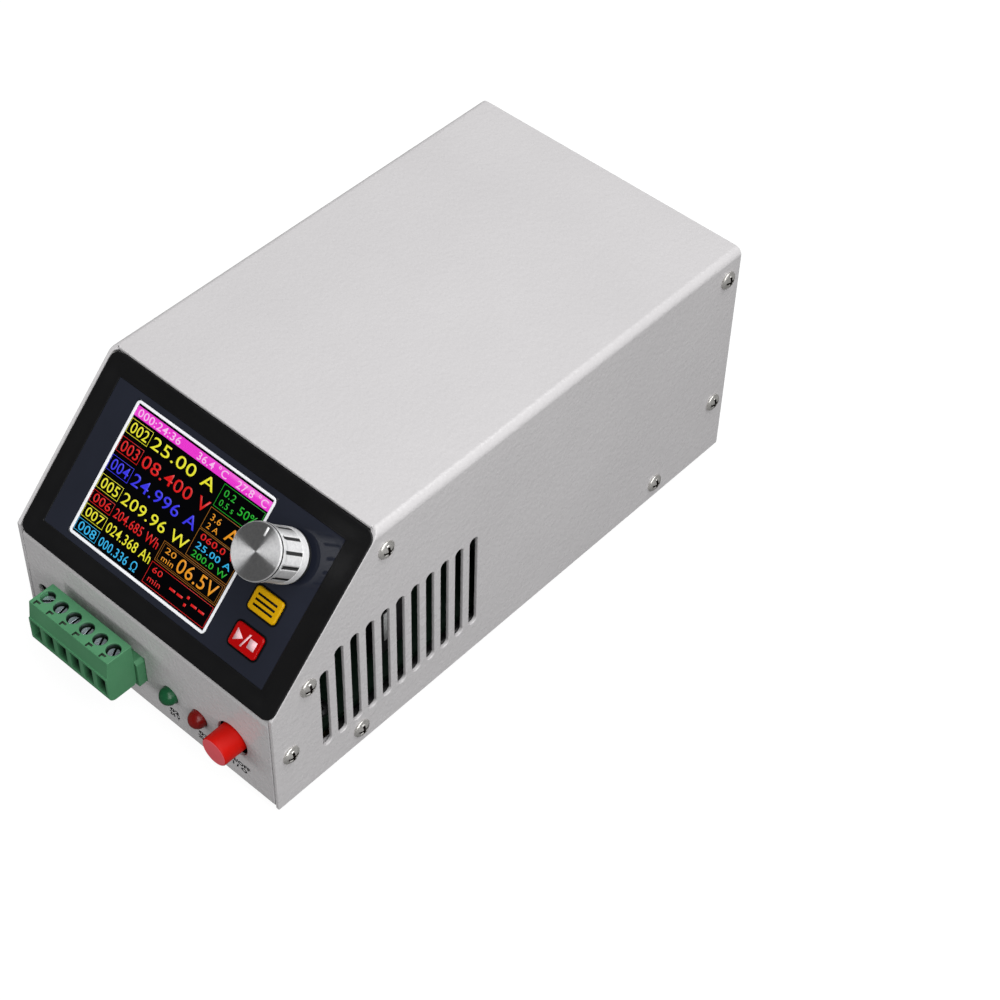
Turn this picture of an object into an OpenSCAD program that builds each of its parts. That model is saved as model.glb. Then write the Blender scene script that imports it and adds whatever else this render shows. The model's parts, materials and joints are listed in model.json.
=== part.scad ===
// Bench DC electronic load: folded steel case with a sloped display panel,
// a turn-and-push knob, two keys, two lamps, a latching power button and a
// six-way pluggable terminal block. The front faces -Y and the feet rest on z = 0.

/* [Case] */
// Width over the cover sides
case_w = 95; // [93:0.5:104]
// Length of the cover
case_l = 178; // [176:1:200]
// Height of the cover above the base sheet underside
case_h = 75; // [74:0.5:86]
// Height where the sloped panel starts at the front
front_h = 36.5; // [35.5:0.5:38]
// Horizontal run of the sloped panel
slope_run = 38.5; // [38:0.5:42]
// Steel sheet thickness
sheet_t = 1.2; // [0.9:0.1:1.4]
// Outside radius of the cover bends
bend_r = 2.4; // [2:0.1:3]
// Outside radius of the chassis bends
wall_bend_r = 1.5; // [1.45:0.05:2.4]
// Gap between the cover sides and the chassis
seam = 0.3; // [0.2:0.05:0.5]
// Depth of the screw flanges on the chassis
flange_d = 10.5; // [9.5:0.5:11]
// Height of the base flanges
base_flange_h = 9.5; // [8.5:0.5:10]
// Rubber foot height
foot_h = 2.5; // [2:0.25:6]
// Rubber foot radius
foot_r = 5; // [4:0.5:7]
// Foot centre to case edge
foot_inset = 14; // [12:0.5:18]

/* [Side vents] */
// Number of slots in each side
vent_count = 11; // [6:1:14]
// Distance between slots
vent_pitch = 5.4; // [5:0.1:6]
// Slot width
vent_w = 3; // [2:0.1:3.5]
// First slot behind the front edge
vent_start = 18; // [17:0.5:24]
// Lower end of the slots
vent_low = 10.5; // [10:0.5:14]
// Slot length
vent_len = 34; // [24:0.5:34.5]
// Length of the first slot under the slope
vent_first_len = 29.2; // [20:0.2:29.4]

/* [Cover screws] */
// Thread radius
screw_r = 1.5; // [1.2:0.05:1.7]
// Head radius
screw_head_r = 2.7; // [2.4:0.1:3]
// Head height
screw_head_h = 1.5; // [1.2:0.1:2]
// Shank length under the head
screw_len = 3.4; // [2.8:0.1:3.6]
// Screw row to the front and rear edges
screw_edge = 5.3; // [5:0.1:6.5]
// Screw row to the sloped edge
screw_slope_in = 7; // [6:0.1:7.5]
// Base row height
screw_low_z = 5.8; // [5:0.1:6.2]

/* [Display panel] */
// Gap between the bezel and the cover sides
bezel_gap = 0.5; // [0.3:0.1:1]
// Bezel edge below the top edge of the slope
bezel_top_gap = 1.4; // [1.2:0.1:2]
// Bezel edge past the lower edge of the slope
bezel_low_over = 0.4; // [0:0.1:0.6]
// Sloped sheet below the cover edge
bezel_seat = 2; // [1.8:0.1:2.6]
// Bezel crest above the cover edge
bezel_rise = 0.5; // [0.3:0.1:1]
// Width of the bezel border
bezel_band = 5.3; // [4.8:0.1:6]
// Bezel corner radius
bezel_r = 3; // [2:0.25:4]
// Width of the white display rim
lcd_rim = 0.9; // [0.7:0.1:1.2]
// Film edge to the rim, above and below
lcd_margin = 1.8; // [1.2:0.1:3]
// Left film edge to the rim
lcd_left = 8.15; // [6:0.05:9]
// Field for knob and keys, from the rim to the right film edge
key_field = 22.05; // [20:0.05:25]

/* [Knob and keys] */
// Knob axis right of the display rim
knob_off = 10.65; // [10.4:0.05:12]
// Knob axis above the panel centre
knob_y = 9.9; // [9.5:0.1:12]
// Knob base radius
knob_r = 7.35; // [6.8:0.05:8]
// Knob height
knob_h = 12.5; // [10:0.1:15]
// Number of axial grooves
knob_grooves = 12; // [8:1:20]
// Groove width
knob_groove_w = 0.8; // [0.5:0.05:1]
// Encoder push travel
knob_travel = 0.5; // [0.3:0.05:0.6]
// Key centres right of the knob axis
key_off = 1; // [0:0.1:2]
// Upper key centre below the panel centre
key_y1 = -3.5; // [-4:0.1:-3.2]
// Lower key centre below the panel centre
key_y2 = -13.65; // [-15:0.05:-13]
// Key width
key_w = 9.4; // [8:0.1:10.4]
// Key height
key_h = 6.4; // [5:0.1:7]
// Key stroke
key_travel = 0.5; // [0.3:0.05:0.6]

/* [Terminal block] */
// Number of ways
term_count = 6; // [6]
// Distance between ways
term_pitch = 5.08; // [5:0.04:5.2]
// Block centre from the case centre plane
term_x = -17; // [-18:0.1:-16.5]
// Plug front face ahead of the case front
plug_reach = 11.6; // [11.2:0.1:14]
// Plug height
plug_h = 15.2; // [15.2:0.1:17]
// Header rim ahead of the case front
header_reach = 2.4; // [2.2:0.1:2.8]
// Clamp screw axis ahead of the case front
clamp_out = 6.2; // [6:0.1:6.8]
// Travel of the clamp cages
clamp_travel = 1.3; // [0.8:0.05:1.4]

/* [Lamps and power button] */
// First lamp from the case centre plane
lamp_x1 = 8.5; // [7:0.1:10]
// Second lamp from the case centre plane
lamp_x2 = 19.4; // [18:0.1:21]
// Lamp height on the front
lamp_z = 13.3; // [13:0.1:16]
// Lamp radius
lamp_r = 2.4; // [1.5:0.1:2.5]
// Lamp tip ahead of the case front
lamp_reach = 3.2; // [2.8:0.1:7]
// Power button axis from the right case edge
power_in = 15.6; // [13.5:0.1:16.5]
// Power button axis height
power_z = 16.5; // [15.8:0.1:18]
// Power button cap radius
power_r = 4.35; // [3.2:0.05:4.5]
// Power button end ahead of the case front
power_reach = 6.5; // [5.6:0.1:11]
// Power button stroke
power_travel = 3; // [1.5:0.1:3.4]
// Spare round hole from the case centre plane
spare_x = -40.4; // [-40.6:0.1:-39]
// Spare round hole height
spare_z = 13.9; // [13:0.1:15]
// Spare round hole radius
spare_r = 2.7; // [2:0.1:2.8]

/* [Rear] */
// Fan centre from the case centre plane
fan_x = 8; // [6:0.5:9]
// Power inlet from the left case edge
jack_in = 13.5; // [12.5:0.25:14.5]
// Power inlet height
jack_z = 24; // [23.5:0.5:32]

/* [Hidden] */
$fn = 48;
eps = 0.05;
fold_steps = 8;
slide_gap = 0.3;
fit_gap = 0.1;
slope_a = atan2(case_h - front_h, slope_run);
slope_len = norm([slope_run, case_h - front_h]);
rear_in = 0.5;
fan_head_h = 2;
fan_head_r = 3.6;
case_y = -(case_l - rear_in + fan_head_h - plug_reach) / 2;
chassis_w = case_w - 2 * (sheet_t + seam);
chassis_top = case_h - sheet_t - 0.2;
front_y = 0;
rear_y = case_l - rear_in;
seat_drop = bezel_seat / cos(slope_a);
low_bend = [front_y, front_h + front_y * tan(slope_a) - seat_drop];
top_bend = [(chassis_top - front_h + seat_drop) / tan(slope_a), chassis_top];
lip_l = 9;
rear_lip_l = 6;
thread_gap = 0.1;
base_screw_in = 29.7;
front_screw_z = 18.6;
rear_screw_z = 20.5;
top_screw_in = 8;
slope_screws = [10.5, slope_len - 4.6];
slope_dir = [cos(slope_a), sin(slope_a)];
slope_in = [sin(slope_a), -cos(slope_a)];
slope_foot = [0, front_h];
side_screws = [
    [screw_edge, front_screw_z],
    [base_screw_in, screw_low_z],
    [case_l - base_screw_in, screw_low_z],
    [case_l - screw_edge, rear_screw_z],
    [case_l - screw_edge, case_h - top_screw_in],
    slope_foot + slope_dir * slope_screws[0] + slope_in * screw_slope_in,
    slope_foot + slope_dir * slope_screws[1] + slope_in * screw_slope_in
];

cover_nose = (bezel_top_gap - fit_gap - sheet_t * sin(slope_a)) / cos(slope_a);
bezel_w = case_w - 2 * (sheet_t + bezel_gap);
bezel_h = slope_len - bezel_top_gap + bezel_low_over;
bezel_shift = -(bezel_top_gap + bezel_low_over) / 2;
film_w = bezel_w - 2 * bezel_band;
film_h = bezel_h - 2 * bezel_band;
film_t = 0.4;
film_top = -0.3;
film_bed = film_top - film_t;
dish_low = -0.2;
crest_w = 1;
brim_low = 0.1;
brim_lap = 0.15;
brim_w = bezel_w + 2 * brim_lap + sheet_t + bezel_gap - brim_lap - fit_gap;
brim_x = (sheet_t + bezel_gap - brim_lap - fit_gap) / 2;
brim_h = bezel_h + 2 * brim_lap;
floor_low = -bezel_seat;
skirt_w = chassis_w - 5.6;
skirt_h = bezel_h - 5.8;
skirt_t = 1.5;
skirt_low = -9;
window_gap = 0.3;
rim_w = film_w - lcd_left - key_field;
rim_h = film_h - 2 * lcd_margin;
lcd_w = rim_w - 2 * lcd_rim;
lcd_h = rim_h - 2 * lcd_rim;
lcd_x = (lcd_left - key_field) / 2;
knob_x = lcd_x + rim_w / 2 + knob_off;
key_x = knob_x + key_off;
lcd_flange_w = rim_w + 7.2;
lcd_flange_h = rim_h + 4;
lcd_back = floor_low - 2.6;
lcd_top = film_top - 0.2;
lcd_t = 1.8;
pcb_t = 1.6;
boss_x = skirt_w / 2 - skirt_t - 2;
boss_y = skirt_h / 2 - skirt_t - 2;
boss_r = 2.2;
small_r = 0.85;
small_head_r = 1.9;
small_head_h = 1.3;
small_len = 5;
hook_w = 8;
hook_x = 24;
hook_d = 0.9;
hook_top = floor_low - sheet_t - 0.2;

knob_low = 2.2;
bush_r = 3.5;
bush_top = 1.4;
shaft_r = 3;
shaft_gap = 0.05;
enc_w = 12;
enc_top = floor_low - 0.7;
plunger_r = 2.6;
plunger_top = skirt_low + 1.9;
plunger_low = skirt_low + 0.7;
knob_wall = 1.8;
groove_deep = 0.7;
groove_low = 2.95;
groove_top = 2.1;
knob_skirt = 1.2;
skirt_step = 0.45;
shaft_top = knob_low + knob_h - 2.2;
key_r = 1;
key_top = 0.45;
key_gap = 0.4;
key_lip = 0.7;
key_lip_t = 1;
key_low = floor_low - 0.2 - key_lip_t;
tact_w = 6;
tact_top = skirt_low + 3.6;
stem_r = 1.7;

board_top = 10.4;
board_side_gap = 3;
board_w = chassis_w - 2 * board_side_gap;
board_y0 = front_y + sheet_t + 1;
board_rear_gap = 32;
board_y1 = case_l - board_rear_gap;
post_in = 5;
post_x = board_w / 2 - post_in;
post_ys = [24, board_y1 - 10];
post_af = 5.5;
head_r = 2.75;
head_h = 2;

plug_w = term_count * term_pitch;
header_w = plug_w + 1.7;
header_h = 9.4;
header_back = 9.6;
header_wall = 0.75;
header_floor = 0.9;
header_chamfer = 1;
cavity_back = 6;
plug_low = board_top + 0.8;
plug_top = plug_low + plug_h;
plug_round = 2.3;
plug_break = plug_low + 9.6;
plug_lean = 1.15;
plug_step = 0.35;
plug_heel = 0.9;
nose_gap = 0.3;
nose_back = 5;
pin_w = 1;
pin_z = board_top + 4.7;
pin_front = -0.5;
entry_w = 3.5;
entry_low = plug_low + 2.8;
entry_top = plug_low + 8.8;
entry_back = -3.4;
mark_w = 0.45;
mark_long = 1.7;
mark_short = 1;
mark_deep = 0.5;
mark_out = 2.6;
cage_w = entry_w - 0.3;
cage_d = 4.4;
cage_h = 4.4;
cage_t = 0.4;
cage_low = entry_low + 0.15;
clamp_r = 1.1;
clamp_head_r = 1.7;
clamp_head_h = 1.7;
clamp_seat = plug_top - 3.3;
clamp_tip = cage_low + cage_h - cage_t - 0.45;
well_r = clamp_head_r + slide_gap + eps;

lamp_rim = 0.6;
lamp_gap = 0.3;
lamp_drop = 0.15;
lead_w = 0.5;
lead_x = 1.27;
lead_back = 6;
power_w = 8.4;
power_front = power_travel + 2.2;
power_back = 18;
power_cap_back = 1.2;
stick_w = 3;
stick_back = power_back - power_travel - 1;
power_hole = power_r + 0.95;
power_drop = 0.4;
power_edge = 0.35;
power_draft = 0.1;

wall_in = rear_y - sheet_t;
fan_size = 60;
fan_t = 20;
fan_pitch = fan_size - 10;
fan_wall = 1.4;
fan_y = wall_in - fan_t;
fan_z = case_h / 2;
fan_r = fan_size / 2 - fan_wall;
grille_step = 5;
grille_half = 1.4;
grille_rib = 3.2;
fan_hole_r = 2.15;
fan_shank_r = 1.9;
fan_shank_l = 16;
hub_r = 14;
blade_count = 7;
blade_t = 1.2;
blade_a = 42;
blade_reach = 15;
axle_r = 1.5;
axle_seat = 5;
axle_stop = 1.5;
rotor_back = 4.5;
sink_w = 58;
sink_l = 58;
sink_y0 = board_y1 - sink_l;
sink_screw_x = 2.6;
sink_screw_in = 4;
sink_screw_r = 2.4;
sink_screw_grip = 3.5;
sink_low = board_top + 5;
sink_base = 5;
sink_top = case_h - 8;
fin_count = 12;
fin_t = 1.3;
mos_w = 15.6;
mos_l = 20;
mos_t = sink_low - board_top;
mos_x = 13;
mos_rows = [9, 33];
cap_r = 5;
cap_h = 21;
cap_ins = [10, 21];
cap_backs = [11, 23];
shunt_x = -20;
shunt_y = 34;
shunt_l = 24;
shunt_h = 6;
shunt_w = 4;
shunt_t = 1;
reg_in = 8;
reg_y = 49;
reg_w = 10;
reg_case_t = 4.4;
reg_case_h = 9;
reg_tab_t = 1.3;
reg_tab_h = 15.6;
reg_stand = 4.2;
reg_lead_pitch = 2.54;
reg_lead_w = 0.8;
board_screw_l = 6;
jack_x = jack_in - case_w / 2;
power_x = case_w / 2 - power_in;
jack_r = 3.9;
jack_lip_r = 5.6;
jack_lip_t = 1.5;
jack_back = wall_in - 13;
jack_bore = 3.1;
jack_bore_deep = 9;
jack_pin_r = 1.05;
nut_t = 2.4;
nut_af = 11;
link_x = -8;
link_w = 12.7;
link_t = 0.9;
link_y = 44;
plugs_h = 7;
plugs_t = 5;
fan_link_x = -29;
fan_link_in = 8;
fan_link_y = board_y1 - fan_link_in;

function unit(v) = v / norm(v);
function left_of(v) = [-v[1], v[0]];
function way_x(i) = term_x + (i - (term_count + 1) / 2) * term_pitch;

// Case origin: front edge of the cover, base sheet underside.
module place() {
    translate([0, case_y, foot_h])
        children();
}

// Panel frame: x right, y up the slope, z out of the panel, zero on the cover edge.
module on_panel() {
    place()
        translate([0, slope_run / 2, (front_h + case_h) / 2])
            rotate([slope_a, 0, 0])
                translate([0, bezel_shift, 0])
                    children();
}

// Outline in (y, z) carried along X.
module along_x(x0, x1) {
    translate([x0, 0, 0])
        rotate([90, 0, 90])
            linear_extrude(x1 - x0)
                children();
}

// Outline in (x, z) carried along Y.
module along_y(y0, y1) {
    translate([0, y1, 0])
        rotate([90, 0, 0])
            linear_extrude(y1 - y0)
                children();
}

// Outline in (x, y) carried along Z.
module along_z(z0, z1) {
    translate([0, 0, z0])
        linear_extrude(z1 - z0)
            children();
}

module round_rect(w, h, r) {
    square([w - 2 * r, h], center = true);
    square([w, h - 2 * r], center = true);
    for (sx = [-1, 1])
        for (sy = [-1, 1])
            translate([sx * (w / 2 - r), sy * (h / 2 - r)])
                circle(r);
}

module long_slot(w, l) {
    square([w, l - w], center = true);
    for (s = [-1, 1])
        translate([0, s * (l - w) / 2])
            circle(w / 2);
}

// Folded strip: the outside line of the fold, the sheet lies on its left.
module folded(pts, t, r) {
    outer = fold_line(pts, 0, r);
    inner = fold_line(pts, t, r);
    n = len(inner);
    polygon(concat(outer, [for (i = [n - 1 : -1 : 0]) inner[i]]));
}

// Line at depth d inside the fold: centre of each bend at r, arc of radius r - d.
function fold_line(pts, d, r) =
    let (n = len(pts))
    let (dirs = [for (i = [0 : n - 2]) unit(pts[i + 1] - pts[i])])
    concat(
        [pts[0] + left_of(dirs[0]) * d],
        [for (i = [1 : n - 2]) each bend_arc(pts[i], dirs[i - 1], dirs[i], d, r)],
        [pts[n - 1] + left_of(dirs[n - 2]) * d]
    );

function bend_arc(p, u, v, d, r) =
    let (a = acos(u * v))
    let (c = p - u * r * tan(a / 2) + left_of(u) * r)
    [for (k = [0 : fold_steps]) c + (r - d) * turned(-left_of(u), a * k / fold_steps)];

function turned(v, a) = [v[0] * cos(a) - v[1] * sin(a), v[0] * sin(a) + v[1] * cos(a)];

// Pan head screw: head seat on z = 0, shank down, cross recess in the head.
module pan_screw(r, len, hr, hh) {
    ball = (hr * hr + hh * hh) / (2 * hh) * 1.25;
    difference() {
        union() {
            intersection() {
                cylinder(r = hr, h = hh);
                translate([0, 0, hh - ball])
                    sphere(ball);
            }
            translate([0, 0, -len])
                cylinder(r = r, h = len);
        }
        for (a = [0, 90])
            rotate(a)
                translate([-hr * 0.6, -hr * 0.14, hh * 0.4])
                    cube([hr * 1.2, hr * 0.28, hh]);
    }
}

// Hexagon prism by its width across flats.
module hex_bar(af, h) {
    cylinder(r = af / sqrt(3), h = h, $fn = 6);
}

// Cover: top and both sides folded from one sheet.
module cover_hoop(w, h, r) {
    square([w - 2 * r, 2 * h], center = true);
    translate([-w / 2, -h])
        square([w, 2 * h - r]);
    for (s = [-1, 1])
        translate([s * (w / 2 - r), h - r])
            circle(r);
}

module top_cover() {
    color("gainsboro")
    place()
    difference() {
        along_y(0, case_l)
            difference() {
                intersection() {
                    cover_hoop(case_w, case_h, bend_r);
                    translate([-case_w, 0])
                        square([2 * case_w, 2 * case_h]);
                }
                cover_hoop(case_w - 2 * sheet_t, case_h - sheet_t, bend_r - sheet_t);
            }
        for (s = [-1, 1])
            translate([s * (case_w - bend_r), 0, 0])
                along_x(-case_w / 2, case_w / 2)
                    polygon([
                        slope_foot - slope_dir * 3,
                        [slope_run, case_h],
                        [slope_run, case_h + 3],
                        [-5, case_h + 3]
                    ]);
        translate([-case_w / 2 + bend_r - eps, -1, case_h - 2 * sheet_t])
            cube([case_w - 2 * bend_r + 2 * eps, slope_run - cover_nose + 1, 3 * sheet_t]);
        along_x(-case_w, case_w)
            side_vents();
        along_x(-case_w, case_w)
            for (p = side_screws)
                translate(p)
                    circle(screw_r + thread_gap);
    }
}

module side_vents() {
    translate([vent_start, vent_low + vent_first_len / 2])
        long_slot(vent_w, vent_first_len);
    for (i = [1 : vent_count - 1])
        translate([vent_start + i * vent_pitch, vent_low + vent_len / 2])
            long_slot(vent_w, vent_len);
}

// Chassis: base, front wall, sloped sheet and rear wall with side flanges.
module chassis() {
    color("silver")
    place()
    difference() {
        union() {
            along_x(-chassis_w / 2, chassis_w / 2)
                folded([
                    top_bend + [lip_l, 0], top_bend, low_bend, [front_y, 0],
                    [rear_y, 0], [rear_y, chassis_top], [rear_y - rear_lip_l, chassis_top]
                ], sheet_t, wall_bend_r);
            for (s = [-1, 1])
                translate([s * (chassis_w / 2 - sheet_t / 2), 0, 0])
                    along_x(-sheet_t / 2, sheet_t / 2)
                        side_flanges();
        }
        along_x(-case_w, case_w)
            for (p = side_screws)
                translate(p)
                    circle(screw_r + thread_gap);
        along_y(front_y - 2, front_y + sheet_t + 2)
            front_cuts();
        along_y(wall_in - 1, rear_y + 1)
            rear_cuts();
        translate([0, slope_run / 2, (front_h + case_h) / 2])
            rotate([slope_a, 0, 0])
                translate([0, bezel_shift, 0])
                    along_z(floor_low - sheet_t - 1, floor_low + 1)
                        square([skirt_w + 2 * window_gap, skirt_h + 2 * window_gap], center = true);
    }
}

module side_flanges() {
    translate([vent_start, 0])
        square([case_l - 2 * vent_start, base_flange_h]);
    translate([front_y, board_top])
        square([flange_d, low_bend[1] - board_top - bend_r]);
    translate([rear_y - flange_d, board_top])
        square([flange_d, chassis_top - board_top - bend_r]);
    polygon([
        slope_foot + slope_dir * 5 + slope_in * (bezel_seat + sheet_t / 2),
        slope_foot + slope_dir * 5 + slope_in * flange_d,
        slope_foot + slope_dir * slope_len + slope_in * flange_d,
        slope_foot + slope_dir * slope_len + slope_in * (bezel_seat + sheet_t / 2)
    ]);
}

module front_cuts() {
    translate([term_x, board_top + header_h / 2])
        square([header_w + 2 * slide_gap, header_h + 2 * slide_gap], center = true);
    for (x = [lamp_x1, lamp_x2])
        translate([x, lamp_z - lamp_drop])
            circle(lamp_r + lamp_gap);
    translate([power_x, power_z - power_drop])
        circle(power_hole);
    translate([spare_x, spare_z])
        circle(spare_r);
}

module rear_cuts() {
    translate([fan_x, fan_z]) {
        difference() {
            for (r = [grille_step + 1 : grille_step : fan_r - grille_half])
                difference() {
                    circle(r + grille_half);
                    circle(r - grille_half);
                }
            for (a = [45, 135])
                rotate(a)
                    square([2 * fan_size, grille_rib], center = true);
        }
        for (sx = [-1, 1])
            for (sz = [-1, 1])
                translate([sx, sz] * fan_pitch / 2)
                    circle(fan_shank_r + thread_gap);
    }
    translate([jack_x, jack_z])
        circle(jack_r + fit_gap);
}

module cover_screws() {
    color("lightsteelblue")
    place()
    for (s = [-1, 1])
        for (p = side_screws)
            translate([s * case_w / 2, p[0], p[1]])
                rotate([0, s * 90, 0])
                    pan_screw(screw_r, screw_len, screw_head_r, screw_head_h);
}

module rubber_feet() {
    color("dimgray")
    place()
    for (sx = [-1, 1])
        for (y = [foot_inset, case_l - foot_inset])
            translate([sx * (case_w / 2 - foot_inset), y, -foot_h])
                rotate_extrude()
                    polygon([
                        [0, 0], [foot_r - 1.2, 0], [foot_r - 0.6, 0.4],
                        [foot_r, foot_h], [0, foot_h]
                    ]);
}

// Display panel, built in the panel frame; its brim laps over the right cover edge.
module bezel() {
    color("black")
    on_panel() {
        difference() {
            union() {
                along_z(floor_low, brim_low + eps)
                    round_rect(bezel_w, bezel_h, bezel_r);
                translate([brim_x, 0, 0])
                    along_z(brim_low, bezel_rise)
                        round_rect(brim_w, brim_h, bezel_r);
            }
            hull() {
                translate([brim_x, 0, 0])
                    along_z(bezel_rise, bezel_rise + eps)
                        square([brim_w - 2 * crest_w, brim_h - 2 * crest_w], center = true);
                along_z(dish_low, dish_low + eps)
                    square([film_w, film_h], center = true);
            }
            along_z(film_bed, dish_low + eps)
                square([film_w, film_h], center = true);
            along_z(floor_low - 1, film_bed + 1)
                panel_openings();
        }
        difference() {
            union() {
                along_z(skirt_low, floor_low)
                    difference() {
                        square([skirt_w, skirt_h], center = true);
                        square([skirt_w - 2 * skirt_t, skirt_h - 2 * skirt_t], center = true);
                    }
                for (sx = [-1, 1])
                    for (sy = [-1, 1])
                        translate([sx * boss_x, sy * boss_y, 0])
                            along_z(skirt_low, floor_low)
                                circle(boss_r);
                for (sx = [-1, 1])
                    for (sy = [0, 1])
                        mirror([0, sy, 0])
                            translate([0, skirt_h / 2, 0])
                                along_x(sx * hook_x - hook_w / 2, sx * hook_x + hook_w / 2)
                                    polygon([[-eps, hook_top], [hook_d, hook_top], [-eps, hook_top - 2]]);
            }
            for (sx = [-1, 1])
                for (sy = [-1, 1])
                    translate([sx * boss_x, sy * boss_y, 0])
                        along_z(skirt_low - 1, floor_low - 1)
                            circle(small_r + fit_gap);
        }
    }
}

module panel_openings() {
    translate([lcd_x, 0])
        square([rim_w, rim_h], center = true);
    translate([knob_x, knob_y])
        circle(bush_r + 0.4);
    for (y = [key_y1, key_y2])
        translate([key_x, y])
            round_rect(key_w + 2 * key_gap, key_h + 2 * key_gap, key_r + key_gap);
}

module panel_film() {
    color("midnightblue")
    on_panel()
    along_z(film_bed, film_top)
        difference() {
            square([film_w - 2 * fit_gap, film_h - 2 * fit_gap], center = true);
            panel_openings();
        }
}

module lcd_frame() {
    color("white")
    on_panel()
    translate([lcd_x, 0, 0])
    difference() {
        union() {
            along_z(lcd_back, floor_low)
                square([lcd_flange_w, lcd_flange_h], center = true);
            along_z(lcd_back, film_top + 0.1)
                round_rect(rim_w - 2 * fit_gap, rim_h - 2 * fit_gap, 1.2);
        }
        along_z(lcd_top - lcd_t, 1)
            square([lcd_w, lcd_h], center = true);
    }
}

module lcd_panel() {
    color("darkslategray")
    on_panel()
    translate([lcd_x, 0, 0])
    along_z(lcd_top - lcd_t, lcd_top)
        square([lcd_w - 2 * fit_gap, lcd_h - 2 * fit_gap], center = true);
}

module display_board() {
    color("darkgreen")
    on_panel()
    along_z(skirt_low - pcb_t, skirt_low)
        difference() {
            square([skirt_w, skirt_h], center = true);
            for (sx = [-1, 1])
                for (sy = [-1, 1])
                    translate([sx * boss_x, sy * boss_y])
                        circle(small_r + fit_gap);
        }
}

module display_screws() {
    color("lightsteelblue")
    on_panel()
    for (sx = [-1, 1])
        for (sy = [-1, 1])
            translate([sx * boss_x, sy * boss_y, skirt_low - pcb_t])
                rotate([180, 0, 0])
                    pan_screw(small_r, small_len, small_head_r, small_head_h);
}

module encoder_body() {
    color("slategray")
    on_panel()
    translate([knob_x, knob_y, 0])
    difference() {
        union() {
            along_z(skirt_low, enc_top)
                square([enc_w, enc_w], center = true);
            along_z(enc_top, bush_top)
                circle(bush_r);
        }
        along_z(skirt_low - 1, bush_top + 1)
            circle(shaft_r + shaft_gap);
        along_z(skirt_low - 1, plunger_top + 0.4)
            circle(plunger_r + 2);
    }
}

module encoder_plunger() {
    color("ivory")
    on_panel()
    translate([knob_x, knob_y, 0])
    along_z(plunger_low, plunger_top)
        circle(plunger_r);
}

module encoder_shaft() {
    color("silver")
    on_panel()
    translate([knob_x, knob_y, 0])
    along_z(plunger_top, shaft_top)
        circle(shaft_r);
}

// Knob shell: smooth base ring, slotted grip, ringed and chamfered crown.
module knob() {
    color("lightgray")
    on_panel()
    translate([knob_x, knob_y, knob_low])
    difference() {
        rotate_extrude()
            polygon([
                [0, 0], [knob_r - 0.4, 0], [knob_r - 0.25, 0.15], [knob_r - 0.25, 2.7],
                [knob_r - 0.3, 2.8], [knob_r - 0.3, knob_h - 2.9], [knob_r - 0.1, knob_h - 2.8],
                [knob_r - 0.1, knob_h - 1], [knob_r, knob_h - 0.85], [knob_r - 0.4, knob_h - 0.75],
                [knob_r - 0.4, knob_h - 0.45], [knob_r - 0.1, knob_h - 0.4],
                [knob_r - 0.1, knob_h - 0.3], [knob_r - 0.75, knob_h], [0, knob_h]
            ]);
        translate([0, 0, -1])
            cylinder(r = knob_r - knob_wall, h = knob_h - knob_wall + 1);
        for (i = [0 : knob_grooves - 1])
            rotate(i * 360 / knob_grooves)
                translate([knob_r - groove_deep, -knob_groove_w / 2, groove_low])
                    cube([2, knob_groove_w, knob_h - groove_top - groove_low]);
    }
}

module knob_insert() {
    color("black")
    on_panel()
    translate([knob_x, knob_y, knob_low])
    difference() {
        union() {
            translate([0, 0, -knob_skirt])
                cylinder(r = knob_r - skirt_step, h = knob_skirt - fit_gap);
            translate([0, 0, -knob_skirt / 2])
                cylinder(r = knob_r - knob_wall - eps, h = knob_h - knob_wall + knob_skirt / 2);
        }
        translate([0, 0, -knob_skirt - 1])
            cylinder(r = bush_r + 0.6, h = knob_skirt + 1.3);
        translate([0, 0, -1])
            cylinder(r = shaft_r + eps, h = shaft_top - knob_low + 1);
    }
}

module key_cap(y) {
    on_panel()
    translate([key_x, y, 0]) {
        along_z(key_low, key_top)
            round_rect(key_w, key_h, key_r);
        along_z(key_low, key_low + key_lip_t)
            round_rect(key_w + 2 * key_lip, key_h + 2 * key_lip, key_r);
    }
}

module key_stem(y) {
    on_panel()
    translate([key_x, y, 0])
    along_z(tact_top - 1.2, key_low)
        circle(stem_r);
}

module menu_key() {
    color("goldenrod")
    key_cap(key_y1);
}

module run_key() {
    color("firebrick")
    key_cap(key_y2);
}

module menu_stem() {
    color("black")
    key_stem(key_y1);
}

module run_stem() {
    color("black")
    key_stem(key_y2);
}

module key_switches() {
    color("dimgray")
    on_panel()
    for (y = [key_y1, key_y2])
        translate([key_x, y, 0])
            difference() {
                along_z(skirt_low, tact_top)
                    square([tact_w, tact_w], center = true);
                along_z(tact_top - 1.2 - key_travel - 0.3, tact_top + 1)
                    circle(stem_r + slide_gap);
            }
}

// Terminal block: header on the board, plug that pulls out to the front.
module terminal_header() {
    color("seagreen")
    place()
    difference() {
        translate([term_x, 0, board_top])
            along_y(-header_reach, header_back)
                header_outline();
        translate([term_x - header_w / 2 + header_wall, -header_reach - 1, board_top + header_floor])
            cube([header_w - 2 * header_wall, cavity_back + header_reach + 1, header_h - 2 * header_floor]);
        for (i = [1 : term_count])
            translate([way_x(i) - pin_w / 2 - eps, 0, pin_z - pin_w / 2 - eps])
                cube([pin_w + 2 * eps, header_back + 1, pin_w + 2 * eps]);
    }
}

// Header seen from the front: both upper corners are chamfered.
module header_outline() {
    polygon([
        [-header_w / 2, 0], [header_w / 2, 0], [header_w / 2, header_h - header_chamfer],
        [header_w / 2 - header_chamfer, header_h], [-header_w / 2 + header_chamfer, header_h],
        [-header_w / 2, header_h - header_chamfer]
    ]);
}

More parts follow.
